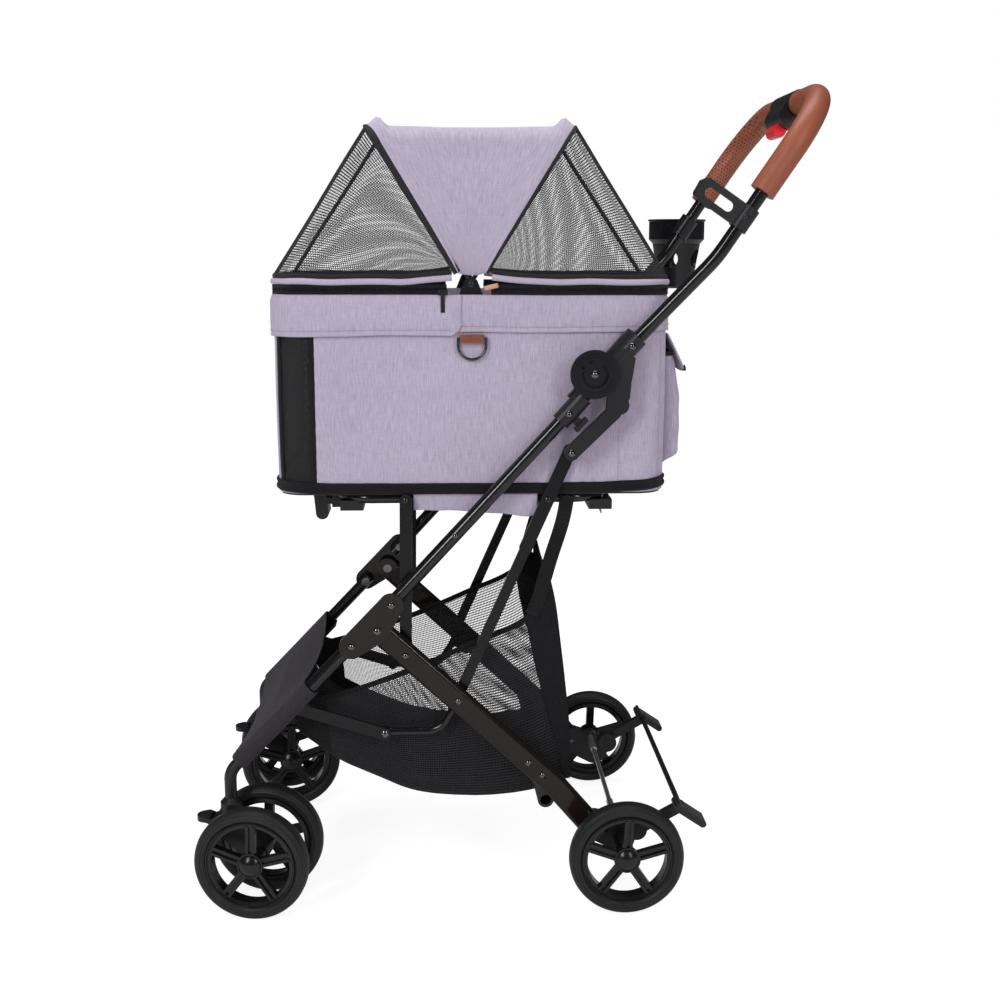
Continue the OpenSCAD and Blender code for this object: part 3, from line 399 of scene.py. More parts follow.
def woven(name, rows, finish, around=False, thick=0.0):
    """A cloth panel from rows of points, each row running anticlockwise seen from outside;
    its UV map is the cloth laid flat, and a wall is added behind it"""
    rows = np.asarray(rows, float)
    m, n = rows.shape[:2]
    steps = np.linalg.norm(np.roll(rows, -1, axis=1) - rows, axis=2).mean(axis=0)
    across = np.concatenate([[0], np.cumsum(steps)])
    rises = np.linalg.norm(np.diff(rows, axis=0), axis=2).mean(axis=1)
    up = np.concatenate([[0], np.cumsum(rises)])
    faces, uvs = [], []
    for i in range(m - 1):
        for j in range(n if around else n - 1):
            k = (j + 1) % n
            faces.append((i * n + j, i * n + k, (i + 1) * n + k, (i + 1) * n + j))
            uvs += [(across[j], up[i]), (across[j + 1], up[i]), (across[j + 1], up[i + 1]),
                    (across[j], up[i + 1])]
    piece = place_piece(name, rows.reshape(-1, 3), faces, finish, uvs)
    if thick:
        wall = piece.modifiers.new("wall", "SOLIDIFY")
        wall.thickness, wall.offset = thick / 1000, -1
        wall.use_even_offset = False
    return piece


def swept(name, path, section, finish, facing, around=False):
    """A section of (outward, sideways) points carried along a path, facing the given way"""
    path = np.asarray(path, float)
    n = len(path)
    facing = np.broadcast_to(np.asarray(facing, float), path.shape)
    if around:
        run = np.roll(path, -1, axis=0) - np.roll(path, 1, axis=0)
    else:
        run = np.gradient(path, axis=0)
    run = run / np.linalg.norm(run, axis=1)[:, None]
    out = facing - run * (facing * run).sum(axis=1)[:, None]
    out = out / np.linalg.norm(out, axis=1)[:, None]
    beside = np.cross(run, out)
    section = np.asarray(section, float)
    k = len(section)
    points = (path[:, None, :] + out[:, None, :] * section[None, :, :1]
              + beside[:, None, :] * section[None, :, 1:]).reshape(-1, 3)
    gaps = np.linalg.norm(np.roll(path, -1, axis=0) - path, axis=1)
    along = np.concatenate([[0], np.cumsum(gaps)])
    edges = np.linalg.norm(np.roll(section, -1, axis=0) - section, axis=1)
    girth = np.concatenate([[0], np.cumsum(edges)])
    faces, uvs = [], []
    for i in range(n if around else n - 1):
        for j in range(k):
            a, b, c = i * k, ((i + 1) % n) * k, (j + 1) % k
            faces.append((a + j, a + c, b + c, b + j))
            uvs += [(along[i], girth[j]), (along[i], girth[j + 1]),
                    (along[i + 1], girth[j + 1]), (along[i + 1], girth[j])]
    if not around:
        for ring in (list(range(k))[::-1], [(n - 1) * k + j for j in range(k)]):
            faces.append(tuple(ring))
            uvs += [(0, 0)] * k
    piece = place_piece(name, points, faces, finish, uvs)
    work = bmesh.new()
    work.from_mesh(piece.data)
    bmesh.ops.recalc_face_normals(work, faces=work.faces)
    work.to_mesh(piece.data)
    work.free()
    return piece


def oval_section(outward, sideways, count=12):
    """An ellipse as a section for swept, by its two half widths"""
    return [(outward * math.cos(2 * math.pi * i / count),
             sideways * math.sin(2 * math.pi * i / count)) for i in range(count)]


def plan_line(grow, count, start=0.0, share=1.0):
    """Points and outward normals round the carrier's plan, anticlockwise from above; start 0
    is the middle of the near side"""
    half_l, half_w = SHELL_LENGTH / 2 + grow, SHELL_WIDTH / 2 + grow
    r = SHELL_CORNER + grow
    flat_l, flat_w, arc = 2 * (half_l - r), 2 * (half_w - r), math.pi * r / 2
    whole = 2 * (flat_l + flat_w) + 4 * arc
    closed = share >= 1.0
    points, normals = [], []
    for i in range(count):
        s = (start + share * i / (count if closed else count - 1)) % 1.0 * whole
        s = (s + flat_l / 2) % whole
        turn = 0
        for side in (flat_l, flat_w, flat_l, flat_w):
            heading = math.pi / 2 * turn
            along = Vector((math.cos(heading), math.sin(heading)))
            out = Vector((along.y, -along.x))
            width = half_l if turn % 2 else half_w
            if s <= side:
                spot = along * (s - side / 2) + out * width
                break
            s -= side
            if s <= arc:
                a = s / r
                centre = along * (side / 2) + out * (width - r)
                out = out * math.cos(a) + along * math.sin(a)
                spot = centre + out * r
                break
            s -= arc
            turn += 1
        points.append((SHELL_MID + spot.x, spot.y))
        normals.append((out.x, out.y))
    return np.array(points), np.array(normals)


def wrinkle(x, y, z, pitch):
    """Smooth noise from -1 to 1, its folds about one pitch apart"""
    return noise.noise(Vector((x / pitch, y / pitch, z / pitch)))


def cloth_relief(x, y, z):
    """How far the body cloth stands off the plan: fullness between seams, puckers at them"""
    rise = (z - SHELL_BASE) / (SHELL_RIM - SHELL_BASE)
    out = 1.3 * math.sin(math.pi * min(max(rise, 0), 1)) + 0.9 * wrinkle(x, y, z * 0.4, 70)
    out += 0.35 * wrinkle(x, y, z, 16)
    if abs(y) > SHELL_WIDTH / 2 - 20:
        for seam_x in (*SIDE_SEAMS, WINDOW_EDGE):
            off = abs(x - seam_x)
            out -= 1.1 * math.exp(-(off / 2.2) ** 2)
            out += 0.55 * math.exp(-off / 8) * math.sin(z / 2.3 + 3 * wrinkle(x, y, z, 30))
    off = abs(z - SHELL_BASE - 14)
    out += 0.5 * math.exp(-off / 7) * math.sin((x + y) / 3.1 + 4 * wrinkle(x, y, z, 40))
    return out


shell_points, shell_normals = plan_line(-1.4, 440)
shell_rows = []
for z in np.linspace(SHELL_BASE + 1, SHELL_RIM - 1, 78):
    shell_rows.append([(px + nx * cloth_relief(px, py, z), py + ny * cloth_relief(px, py, z), z)
                       for (px, py), (nx, ny) in zip(shell_points, shell_normals)])
shell_rows = np.array(shell_rows)


def cut_woven(piece, keep):
    """Leaves only the faces whose middle, in millimetres, passes the test"""
    work = bmesh.new()
    work.from_mesh(piece.data)
    gone = [face for face in work.faces if not keep(face.calc_center_median() * 1000)]
    bmesh.ops.delete(work, geom=gone, context="FACES")
    work.to_mesh(piece.data)
    work.free()
    return piece


WINDOW_LOW, WINDOW_HIGH = SHELL_BASE + 11, SHELL_RIM - 42
CORNER_STRIP, FRONT_WALL = -287.0, -286.5


def in_window(spot):
    """The openings for net: the front end between its corners, and a strip on each side"""
    if not WINDOW_LOW < spot.z < WINDOW_HIGH:
        return False
    front = spot.x < FRONT_WALL and abs(spot.y) < SHELL_WIDTH / 2 - SHELL_CORNER + 4
    side = CORNER_STRIP < spot.x < WINDOW_EDGE
    return front or side


carrier_body = woven("carrier_body", shell_rows, lilac, around=True, thick=3.4)
cut_woven(carrier_body, lambda spot: not in_window(spot))
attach(carrier_body, "carrier")
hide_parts("carrier_shell")

base_points, _ = plan_line(-4.0, 200)
base_rows = [[(SHELL_MID + (px - SHELL_MID) * s, py * s, SHELL_BASE + 0.9)
              for px, py in base_points] for s in (0.02, 0.35, 0.7, 0.9, 1.0)]
carrier_base = woven("carrier_base_board", base_rows, lining, around=True, thick=2.5)
work = bmesh.new()
work.from_mesh(carrier_base.data)
rim_edges = [e for e in work.edges if e.is_boundary and
             (e.verts[0].co - Vector((SHELL_MID / 1000, 0, e.verts[0].co.z))).length < 0.03]
bmesh.ops.contextual_create(work, geom=rim_edges)
bmesh.ops.recalc_face_normals(work, faces=work.faces)
work.to_mesh(carrier_base.data)
work.free()
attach(carrier_base, "carrier")

# ---- Mesh window ------------------------------------------------------------
# Black polyester net set into the front corners and the front end, bound with black tape.
# Threads are about 0.5 mm wide; the holes run in staggered rows.


def netting(name, across, up, open_share, tone, slant=0.0):
    """Knitted net seen through: staggered oval holes on the cloth's own UV"""
    f = Finish(name)
    place = f.node("ShaderNodeTexCoord", {}, {}, "UV")
    u, v = [f.node("ShaderNodeSeparateXYZ", {}, {"Vector": place}, k) for k in "XY"]
    line = v / up
    row = line.maths("FLOOR")
    x = (u / across + row * 0.5 + line * slant).maths("FRACT") - 0.5
    y = line.maths("FRACT") - 0.5
    reach = (x * x + y * y).maths("SQRT")
    hole = reach.maths("LESS_THAN", open_share)
    slack = f.speckle(place, 30, 3)
    colour = f.blend(slack, tone, tuple(2.2 * c for c in tone))
    return f.surface(colour, slack * 0.2 + 0.5, Specular_IOR_Level=0.25, Sheen_Weight=0.08,
                     Alpha=1.0 - hole, Normal=f.bumped(reach, 0.0004))


def ribbed(name, pitch, tone, depth=0.0003, gloss=0.7):
    """Woven tape or webbing with ribs across its length"""
    f = Finish(name)
    place = f.node("ShaderNodeTexCoord", {}, {}, "UV")
    u, v = [f.node("ShaderNodeSeparateXYZ", {}, {"Vector": place}, k) for k in "XY"]
    ribs = (u * (2 * math.pi / pitch) + v * 600).maths("SINE")
    fuzz = f.speckle(place, 500, 3)
    colour = f.blend(ribs * 0.3 + fuzz * 0.7, tone, tuple(2.4 * c for c in tone))
    return f.surface(colour, fuzz * 0.15 + gloss, Specular_IOR_Level=0.22, Sheen_Weight=0.06,
                     Normal=f.bumped(ribs + fuzz * 0.6, depth))


window_net = netting("window_net", 0.0016, 0.0014, 0.13, (0.006, 0.006, 0.007))
tape_black = ribbed("tape_black", 0.0011, (0.006, 0.006, 0.007))

window_mesh = woven("window_mesh", shell_rows - np.append(shell_normals, np.zeros((
    len(shell_normals), 1)), axis=1)[None] * 1.2, window_net, around=True)
cut_woven(window_mesh, lambda spot: in_window(spot) or (
    spot.x < WINDOW_EDGE + 2 and WINDOW_LOW - 2 < spot.z < WINDOW_HIGH + 2 and not (
        spot.x < CORNER_STRIP - 1 and abs(spot.y) > SHELL_WIDTH / 2 - SHELL_CORNER + 6)))
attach(window_mesh, "carrier")
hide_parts("front_window")

for side_name, side in (("left", -1), ("right", 1)):
    for edge_name, edge_x in (("rear", WINDOW_EDGE + 1), ("front", CORNER_STRIP + 3.5)):
        near = [i for i, (px, py) in enumerate(shell_points)
                if py * side > 60 and px < -150]
        best = min(near, key=lambda i: abs(shell_points[i][0] - edge_x))
        path = shell_rows[:, best]
        path = path[(path[:, 2] > WINDOW_LOW - 3) & (path[:, 2] < WINDOW_HIGH + 3)]
        out = (*shell_normals[best], 0)
        edge_tape = swept(f"window_binding_{side_name}_{edge_name}", path,
                          oval_section(1.3, 3.6), tape_black, out)
        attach(edge_tape, "carrier")

# ---- Base piping ------------------------------------------------------------
# A black zip and its tape run round the foot of the box in two soft ridges; they ride a
# little lower at the middle of each side, where the board sags.

band_points, band_normals = plan_line(0.0, 420)
band_path, band_facing = [], []
for (px, py), (nx, ny) in zip(band_points, band_normals):
    end = abs(px - SHELL_MID) / (SHELL_LENGTH / 2)
    lift = 4.2 * end ** 6 + (1.6 if px > 60 else 0) * (px - 60) / 120 * (px > 60)
    band_path.append((px + nx * 0.2, py + ny * 0.2, SHELL_BASE + 6.6 + lift
                      + 0.35 * wrinkle(px, py, 0, 25)))
    band_facing.append((nx, ny, 0))
band_section = [(-1.6, -6.4), (0.2, -6.4), (1.5, -5.2), (1.7, -3.6), (0.8, -1.6), (0.5, -0.6),
                (0.8, 0.8), (1.9, 2.6), (2.0, 4.4), (1.0, 6.2), (0.0, 6.8), (-1.6, 6.8)]
base_band = swept("base_piping", band_path, band_section, tape_black, band_facing, True)
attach(base_band, "carrier")

# ---- Cuff -------------------------------------------------------------------
# The turned-down collar round the rim, in two lengths: the front one laps over the rear one
# on each side, with its lower corner rounded off. Both are hemmed and hang a little slack.

CUFF_LOW, CUFF_TOP = 700.0, 745.4
LAP_X = -68.6


def cuff_sheet(name, start, share, lower_edge, out_by, corner=None):
    """One length of the collar; its corner at the lap is rounded off over corner mm"""
    points, normals = plan_line(0.4, 330, start, share)
    rows = []
    for v in np.linspace(0, 1, 22):
        row = []
        for (px, py), (nx, ny) in zip(points, normals):
            low = lower_edge(px) + 0.6 * wrinkle(px, py, 0, 45)
            if corner:
                low += max(0, corner - abs(px - LAP_X)) ** 2 / corner * 0.9 * (
                    1 if abs(px - LAP_X) < corner and abs(py) > 100 else 0)
            z = low + (CUFF_TOP - low) * v
            hem = 0.7 * math.exp(-((z - low) / 2.5) ** 2)
            ease = 0.8 * math.sin(math.pi * v) + 0.8 * wrinkle(px * 0.6, py * 0.6, z * 2.2, 34)
            ease += 0.3 * wrinkle(px, py, z, 12)
            tuck = 2.4 * max(0, v - 0.86) / 0.14
            out = out_by + hem + ease * (1 - 0.5 * v) - tuck
            row.append((px + nx * out, py + ny * out, z))
        rows.append(row)
    piece = woven(name, rows, lilac, thick=1.3)
    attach(piece, "carrier")
    return piece


def lap_share(x):
    """Where along the plan line, from the near side's middle, the near side stands at x"""
    half_l = SHELL_LENGTH / 2 + 0.4
    r = SHELL_CORNER + 0.4
    whole = 4 * (half_l - r) + 4 * (SHELL_WIDTH / 2 + 0.4 - r) + 2 * math.pi * r
    return (x - SHELL_MID) / whole


def rear_low(x):
    return CUFF_LOW + 2.6 - 1.0 * math.cos((x - 30) / 60)


def front_low(x):
    return CUFF_LOW - 2.4 + 0.9 * math.sin((x + 200) / 40)


rear_start, front_start = lap_share(LAP_X - 14), lap_share(LAP_X)
REAR_OUT, FRONT_OUT = 1.1, 2.6
cuff_sheet("cuff_rear", rear_start, 0.5 - 2 * rear_start, rear_low, REAR_OUT)
cuff_front = cuff_sheet("cuff_front", 0.5 - front_start, 0.5 + 2 * front_start, front_low,
                        FRONT_OUT, 14)
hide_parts("carrier_cuff")

# ---- Rim zip ----------------------------------------------------------------
# A coarse black coil zip joins canopy and box, in two lengths that stop short of the bow
# brackets. The rear length starts in a tan leather tab; brown tabs hold the two D-rings.


def run_along(name, paths, finish, body, spacing, size):
    """Geometry Nodes: one small bead at every step of the paths, turned along them"""
    tree = bpy.data.node_groups.new(name + "_row", "GeometryNodeTree")
    ports = {}
    for label, kind, way in (("Path", "NodeSocketGeometry", "INPUT"),
                             ("Spacing", "NodeSocketFloat", "INPUT"),
                             ("Size", "NodeSocketVector", "INPUT"),
                             ("Finish", "NodeSocketMaterial", "INPUT"),
                             ("Beads", "NodeSocketGeometry", "OUTPUT")):
        ports[label] = tree.interface.new_socket(name=label, in_out=way, socket_type=kind)
    make, join = tree.nodes.new, tree.links.new
    given, result = make("NodeGroupInput"), make("NodeGroupOutput")
    curve, spread = make("GeometryNodeMeshToCurve"), make("GeometryNodeCurveToPoints")
    spread.mode = "LENGTH"
    bead = make("GeometryNodeMeshIcoSphere")
    bead.inputs["Radius"].default_value = 0.5
    bead.inputs["Subdivisions"].default_value = 2
    placed, real = make("GeometryNodeInstanceOnPoints"), make("GeometryNodeRealizeInstances")
    painted = make("GeometryNodeSetMaterial")
    for source, output, target, entry in (
            (given, "Path", curve, "Mesh"), (curve, "Curve", spread, "Curve"),
            (given, "Spacing", spread, "Length"), (spread, "Points", placed, "Points"),
            (spread, "Rotation", placed, "Rotation"), (bead, "Mesh", placed, "Instance"),
            (given, "Size", placed, "Scale"), (placed, "Instances", real, "Geometry"),
            (real, "Geometry", painted, "Geometry"), (given, "Finish", painted, "Material"),
            (painted, "Geometry", result, "Beads")):
        join(source.outputs[output], target.inputs[entry])
    points, edges = [], []
    for path in paths:
        first = len(points)
        points += [tuple(float(c) / 1000 for c in point) for point in path]
        edges += [(k, k + 1) for k in range(first, len(points) - 1)]
    line = bpy.data.meshes.new(name + "_line")
    line.from_pydata(points, edges, [])
    guide = bpy.data.objects.new(name + "_guide", line)
    scene.collection.objects.link(guide)
    row = guide.modifiers.new("row", "NODES")
    row.node_group = tree
    row[ports["Spacing"].identifier] = spacing / 1000
    row[ports["Size"].identifier] = [s / 1000 for s in size]
    row[ports["Finish"].identifier] = finish
    shown = guide.evaluated_get(bpy.context.evaluated_depsgraph_get())
    mesh = bpy.data.meshes.new_from_object(shown)
    bpy.data.objects.remove(guide)
    piece = bpy.data.objects.new(name, mesh)
    scene.collection.objects.link(piece)
    if not mesh.materials:
        mesh.materials.append(finish)
    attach(piece, body)


ZIP_Z, ZIP_FRONT_END, ZIP_REAR_END = 751.0, -86, -34
zip_section = [(-1.6, -6.2), (0.4, -6.2), (1.5, -4.6), (1.7, -3.2), (0.9, -1.9), (0.7, 0),
               (0.9, 1.9), (1.7, 3.2), (1.5, 4.8), (0.4, 6.0), (-1.6, 6.0)]
zip_front, zip_rear = lap_share(ZIP_FRONT_END), lap_share(ZIP_REAR_END)
teeth_paths = []
for zip_name, zip_start, zip_share in (("front", 0.5 - zip_front, 0.5 + 2 * zip_front),
                                       ("rear", zip_rear, 0.5 - 2 * zip_rear)):
    zip_points, zip_normals = plan_line(-1.0, 300, zip_start, zip_share)
    zip_path = [(px, py, ZIP_Z + 0.5 * wrinkle(px, py, 3, 60)) for px, py in zip_points]
    zip_facing = [(nx, ny, 0) for nx, ny in zip_normals]
    zip_tape = swept(f"rim_zip_{zip_name}", zip_path, zip_section, tape_black, zip_facing)
    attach(zip_tape, "carrier")
    for off in (-0.9, 0.9):
        teeth_paths.append([(x + nx * 1.1, y + ny * 1.1, z + off) for (x, y, z), (nx, ny, _)
                            in zip(zip_path, zip_facing)])
run_along("rim_zip_teeth", teeth_paths, nylon_smooth, "carrier", 1.9,
          (1.5, 1.5, 1.0))
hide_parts("zipper_track")


def leather(name, tone, deep):
    """Grained tab leather with a worn patina"""
    f = Finish(name)
    place = f.node("ShaderNodeTexCoord", {}, {}, "Object")
    cells = f.node("ShaderNodeTexVoronoi", {"feature": "DISTANCE_TO_EDGE"},
                   {"Vector": place, "Scale": 900})
    patina = f.speckle(place, 80, 4)
    return f.surface(f.blend(patina, tone, deep), patina * 0.2 + 0.38,
                     Normal=f.bumped(cells.maths("MINIMUM", 0.2), 0.0002))


tab_leather = leather("tab_leather", (0.235, 0.062, 0.030), (0.150, 0.038, 0.018))
tan_leather = leather("tan_leather", (0.640, 0.360, 0.235), (0.520, 0.270, 0.160))
coat(tab_leather, "ring_tabs")
coat(gun_metal, "zip_slider", "left_d_ring", "right_d_ring")
tan_tab = swept("zip_end_tab", [(x, -139.2 - 0.3 * math.sin(x), 752.5 + 0.25 * (x + 42))
                                for x in np.linspace(-42, -26, 9)],
                [(-0.9, -2.6), (0.9, -2.8), (1.0, 0), (0.9, 2.8), (-0.9, 2.6)], tan_leather,
                (0, -1, 0))
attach(tan_tab, "carrier")

# ---- Canopy -----------------------------------------------------------------
# Cloth over two hinged hoops: one melange sheet across the top between them, and a tapering
# net sheet at each end, stretched from hoop to rim. Black tape binds the seams, and the rim
# edge is turned under a padded melange roll.

CANOPY_HALF = SHELL_WIDTH / 2 - 1.2
HOOP_FOOT_Z, HOOP_TOP_Z = 770.5, 936.8
canopy_net = netting("canopy_net", 0.0024, 0.0022, 0.41, (0.012, 0.012, 0.014), 0.12)
CANOPY_STEPS = 161


def hoop_line(foot, top, half=CANOPY_HALF, corner=24.0, count=CANOPY_STEPS):
    """The U of a hoop seam: up the near leg, across and down the far one. foot and top are
    (x, z); a corner's leg, arc and crossing take fixed shares of the points"""
    height = math.hypot(top[0] - foot[0], top[1] - foot[1])
    lean = ((top[0] - foot[0]) / height, (top[1] - foot[1]) / height)
    leg, arc = int(count * 0.34), int(count * 0.07)
    line = []
    for i in range(leg):
        line.append((-half, (height - corner) * i / leg))
    for i in range(arc):
        a = math.pi / 2 * i / arc
        line.append((-half + corner - corner * math.cos(a), height - corner
                     + corner * math.sin(a)))
    rest = count - 2 * (leg + arc)
    for i in range(rest):
        line.append((-half + corner + (2 * half - 2 * corner) * i / (rest - 1), height))
    line += [(-y, h) for y, h in line[:leg + arc]][::-1]
    return np.array([(foot[0] + lean[0] * h, y, foot[1] + lean[1] * h) for y, h in line])


def rim_line(front, foot_x, count=CANOPY_STEPS, grow=-1.0):
    """The rim's matching half, from the near bracket round one end to the far bracket"""
    sign = -1 if front else 1
    leg, arc = int(count * 0.34), int(count * 0.07)
    half_l, half_w = SHELL_LENGTH / 2 + grow, SHELL_WIDTH / 2 + grow
    r = SHELL_CORNER + 4
    reach = half_l - r - abs(foot_x - SHELL_MID)
    line = []
    for i in range(leg):
        line.append((foot_x + sign * reach * i / leg, -half_w))
    for i in range(arc):
        a = math.pi / 2 * i / arc
        line.append((SHELL_MID + sign * (half_l - r + r * math.sin(a)), -half_w + r
                     - r * math.cos(a)))
    rest = count - 2 * (leg + arc)
    for i in range(rest):
        line.append((SHELL_MID + sign * half_l, -half_w + r + (2 * half_w - 2 * r) * i
                     / (rest - 1)))
    line += [(x, -y) for x, y in line[:leg + arc]][::-1]
    rows = []
    for i, (x, y) in enumerate(line):
        near_foot = max(0, 1 - abs(x - foot_x) / 60)
        z = 764.6 + 5.2 * near_foot ** 1.5 + 0.9 * wrinkle(x, y, 0, 50)
        rows.append((x, y, z))
    return np.array(rows)


front_seam = hoop_line((-73.5, HOOP_FOOT_Z), (-177.0, HOOP_TOP_Z))
rear_seam = hoop_line((-39.5, HOOP_FOOT_Z), (64.0, HOOP_TOP_Z))
front_rim, rear_rim = rim_line(True, -80.0), rim_line(False, -33.0)


def cloth_size(rows):
    """Greatest width and length of a sheet of point rows, and its area, in metres"""
    width = np.linalg.norm(np.diff(rows, axis=1), axis=2).sum(axis=1).max() / 1000
    length = np.linalg.norm(np.diff(rows, axis=0), axis=2).sum(axis=0).max() / 1000
    a = rows[1:, :-1] - rows[:-1, :-1]
    b = rows[:-1, 1:] - rows[:-1, :-1]
    c = rows[1:, 1:] - rows[1:, :-1]
    d = rows[1:, 1:] - rows[:-1, 1:]
    area = (np.linalg.norm(np.cross(a, b), axis=2) + np.linalg.norm(np.cross(c, d), axis=2))
    return width, length, area.sum() / 2e6


def as_sheet(piece, rows, held, *rests_on):
    """Works out how large a sheet of point rows is laid flat; nothing further is done with it"""
    width, length, area = cloth_size(rows)


def follow_bow(piece, front):
    """Bakes the piece's placement into its mesh"""
    sign = -1 if front else 1
    (SHELL_MID + sign * 60) / 1000
    (SHELL_MID + sign * 118) / 1000
    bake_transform(piece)


def net_sheet(name, rim, seam, front):
    """The net of one end, pulled inwards between rim and hoop"""
    rows = []
    for v in np.linspace(0, 1, 34):
        row = rim * (1 - v) + seam * v
        slack = math.sin(math.pi * v)
        for i, (x, y, z) in enumerate(row):
            u = i / (CANOPY_STEPS - 1)
            side = 1 if u < 0.36 else -1 if u > 0.64 else 0
            pull = 2.2 * slack * math.sin(math.pi * min(1, abs(u - (side < 0)) / 0.41))
            creases = 1.5 * slack * wrinkle(u * 900, v * 60, 5 if front else 50, 34)
            if side:
                row[i] = (x, y + side * (pull + creases), z)
            else:
                row[i] = (x + (1 if front else -1) * (pull * 1.8 + creases), y, z - pull * 0.5)
        rows.append(row)
    rows = np.array(rows)
    if front:
        rows = rows[:, ::-1]
    piece = woven(name, rows, canopy_net)
    as_sheet(piece, rows, "stretched", "front_bow" if front else "rear_bow", "zipper_track")
    follow_bow(piece, front)
    return piece, rows


canopy_front_net, front_rows = net_sheet("canopy_net_front", front_rim, front_seam, True)
canopy_rear_net, rear_rows = net_sheet("canopy_net_rear", rear_rim, rear_seam, False)
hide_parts("canopy_front")
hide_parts("canopy_rear")

top_rows = []
for v in np.linspace(0, 1, 64):
    row = front_seam * (1 - v) + rear_seam * v
    for i, (x, y, z) in enumerate(row):
        u = i / (CANOPY_STEPS - 1)
        up = min(1, max(0, (min(u, 1 - u) - 0.30) / 0.10))
        up = up * up * (3 - 2 * up)
        end = min(v, 1 - v)
        ear = math.exp(-((end - 0.052) / 0.030) ** 2)
        drape = math.sin(math.pi * v)
        fold = 1.6 * wrinkle(x * 0.5, y, z * 0.5, 46) + 0.7 * wrinkle(x, y * 0.4, z, 20)
        lift = up * (9.6 * ear - 1.4 * drape - 2.2 * drape * math.sin(math.pi * min(
            1, max(0, (u - 0.38) / 0.24))) + 0.5 * fold)
        out = (1 - up) * (1.8 * ear - 2.6 * drape + fold * drape)
        side = -1 if u < 0.5 else 1
        foot = max(0, 1 - min(u, 1 - u) / 0.03)
        row[i] = (x, y + side * out, z + lift - 3.0 * foot * drape)
    top_rows.append(row)
top_rows = np.array(top_rows)
canopy_cloth = woven("canopy_cloth", np.swapaxes(top_rows, 0, 1)[::-1], lilac, thick=1.1)
as_sheet(canopy_cloth, top_rows, "stretched", "front_bow", "rear_bow")
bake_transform(canopy_cloth)
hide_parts("canopy_top")

seam_black = ribbed("seam_binding", 0.0010, (0.016, 0.015, 0.018), 0.0002)


def outward_of(seam):
    """Outward direction at each point of a U seam: sideways on the legs, up on the crossing"""
    out = np.zeros_like(seam)
    out[:, 1] = seam[:, 1] / CANOPY_HALF
    out[:, 1] *= np.abs(out[:, 1]) ** 3
    out[:, 2] = 1 - np.abs(out[:, 1])
    return out


for seam_name, seam, wide in (("front", front_seam, 4.6), ("rear", rear_seam, 2.6)):
    facing = outward_of(seam)
    binding = swept(f"canopy_binding_{seam_name}", seam + facing * 0.8,
                    oval_section(1.5, wide, 10), seam_black, facing)
    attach(binding, f"{seam_name}_bow")

# The corner seams of each net end, the hem tape along its foot and the padded roll below
for end_name, rows, rim, sign in (("front", front_rows, front_rim, -1),
                                  ("rear", rear_rows, rear_rim, 1)):
    for side_name, column in (("left", 0.402), ("right", 0.598)):
        column = int((CANOPY_STEPS - 1) * (1 - column if end_name == "front" else column))
        path = rows[:, column]
        facing = np.array([(sign, -1 if path[0][1] < 0 else 1, 0.4)] * len(path), float)
        ridge = swept(f"canopy_edge_{end_name}_{side_name}", path,
                      oval_section(1.3, 3.4, 8), seam_black, facing)
        follow_bow(ridge, end_name == "front")
    facing = np.array([(0, -1 if y < 0 else 1, 0) if abs(y) > CANOPY_HALF - 12
                       else (sign, 0, 0) for x, y, z in rim], float)
    hem = swept(f"canopy_hem_{end_name}", rim + np.array([0, 0, 1.5]) + facing * 0.2,
                oval_section(1.2, 3.0, 8), seam_black, facing)
    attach(hem, "carrier")
    roll = rim + facing * 1.4
    roll[:, 2] += [0.6 * wrinkle(x, y, z, 26) - 4.4 for x, y, z in rim]
    rolled = swept(f"canopy_roll_{end_name}", roll, oval_section(2.6, 3.6, 12), lilac, facing)
    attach(rolled, "carrier")

# ---- Seams on the box -------------------------------------------------------
# Stitching beside each vertical seam and along the cuff's hems, 3.2 mm to the stitch.

NEEDLE_OFF = 3.4


def thread(name, deep, pale):
    """Sewing thread, a little uneven in tone"""
    f = Finish(name)
    place = f.node("ShaderNodeTexCoord", {}, {}, "Object")
    return f.surface(f.blend(f.speckle(place, 900), deep, pale), 0.7)


seam_thread = thread("seam_thread", (0.20, 0.17, 0.23), (0.32, 0.28, 0.36))
stitch_paths = []
for side in (-1, 1):
    near = [i for i, (px, py) in enumerate(shell_points) if py * side > 100]
    for seam_x in SIDE_SEAMS:
        best = min(near, key=lambda i: abs(shell_points[i][0] - seam_x + NEEDLE_OFF))
        stitch_paths.append(list(shell_rows[4:-14, best] + [0, side * 0.35, 0]))
run_along("body_stitches", stitch_paths, seam_thread, "carrier", 3.2,
          (0.55, 0.55, 2.2))
hem_paths = []
for start, share, low_edge, out_by in (
        (rear_start + 0.002, 0.5 - 2 * rear_start - 0.004, rear_low, REAR_OUT),
        (0.5 - front_start + 0.002, 0.5 + 2 * front_start - 0.012, front_low, FRONT_OUT)):
    points, normals = plan_line(0.4, 330, start, share)
    hem_paths.append([(px + nx * (out_by + 1.3), py + ny * (out_by + 1.3),
                       low_edge(px) + 6.5) for (px, py), (nx, ny) in zip(points, normals)])
run_along("cuff_stitches", hem_paths, seam_thread, "carrier", 3.2,
          (0.6, 0.6, 2.2))

# ---- Storage basket ---------------------------------------------------------
# A slung bag: net sides, a ribbed black floor that sags under its own slack, a plain cloth
# panel up the back, tape round the mouth, and a webbing strap each side up to the platform.

BASKET_HALF = 127.0
basket_net = netting("basket_net", 0.0022, 0.0030, 0.36, (0.011, 0.011, 0.013), 0.42)
basket_floor_cloth = ribbed("basket_floor_cloth", 0.0042, (0.004, 0.004, 0.005), 0.0007, 0.62)
basket_back_cloth = melange("basket_back_cloth", (0.011, 0.010, 0.013), (0.005, 0.005, 0.006),
                            1.0, 0.03)
webbing = ribbed("webbing", 0.0021, (0.005, 0.005, 0.006), 0.0006)


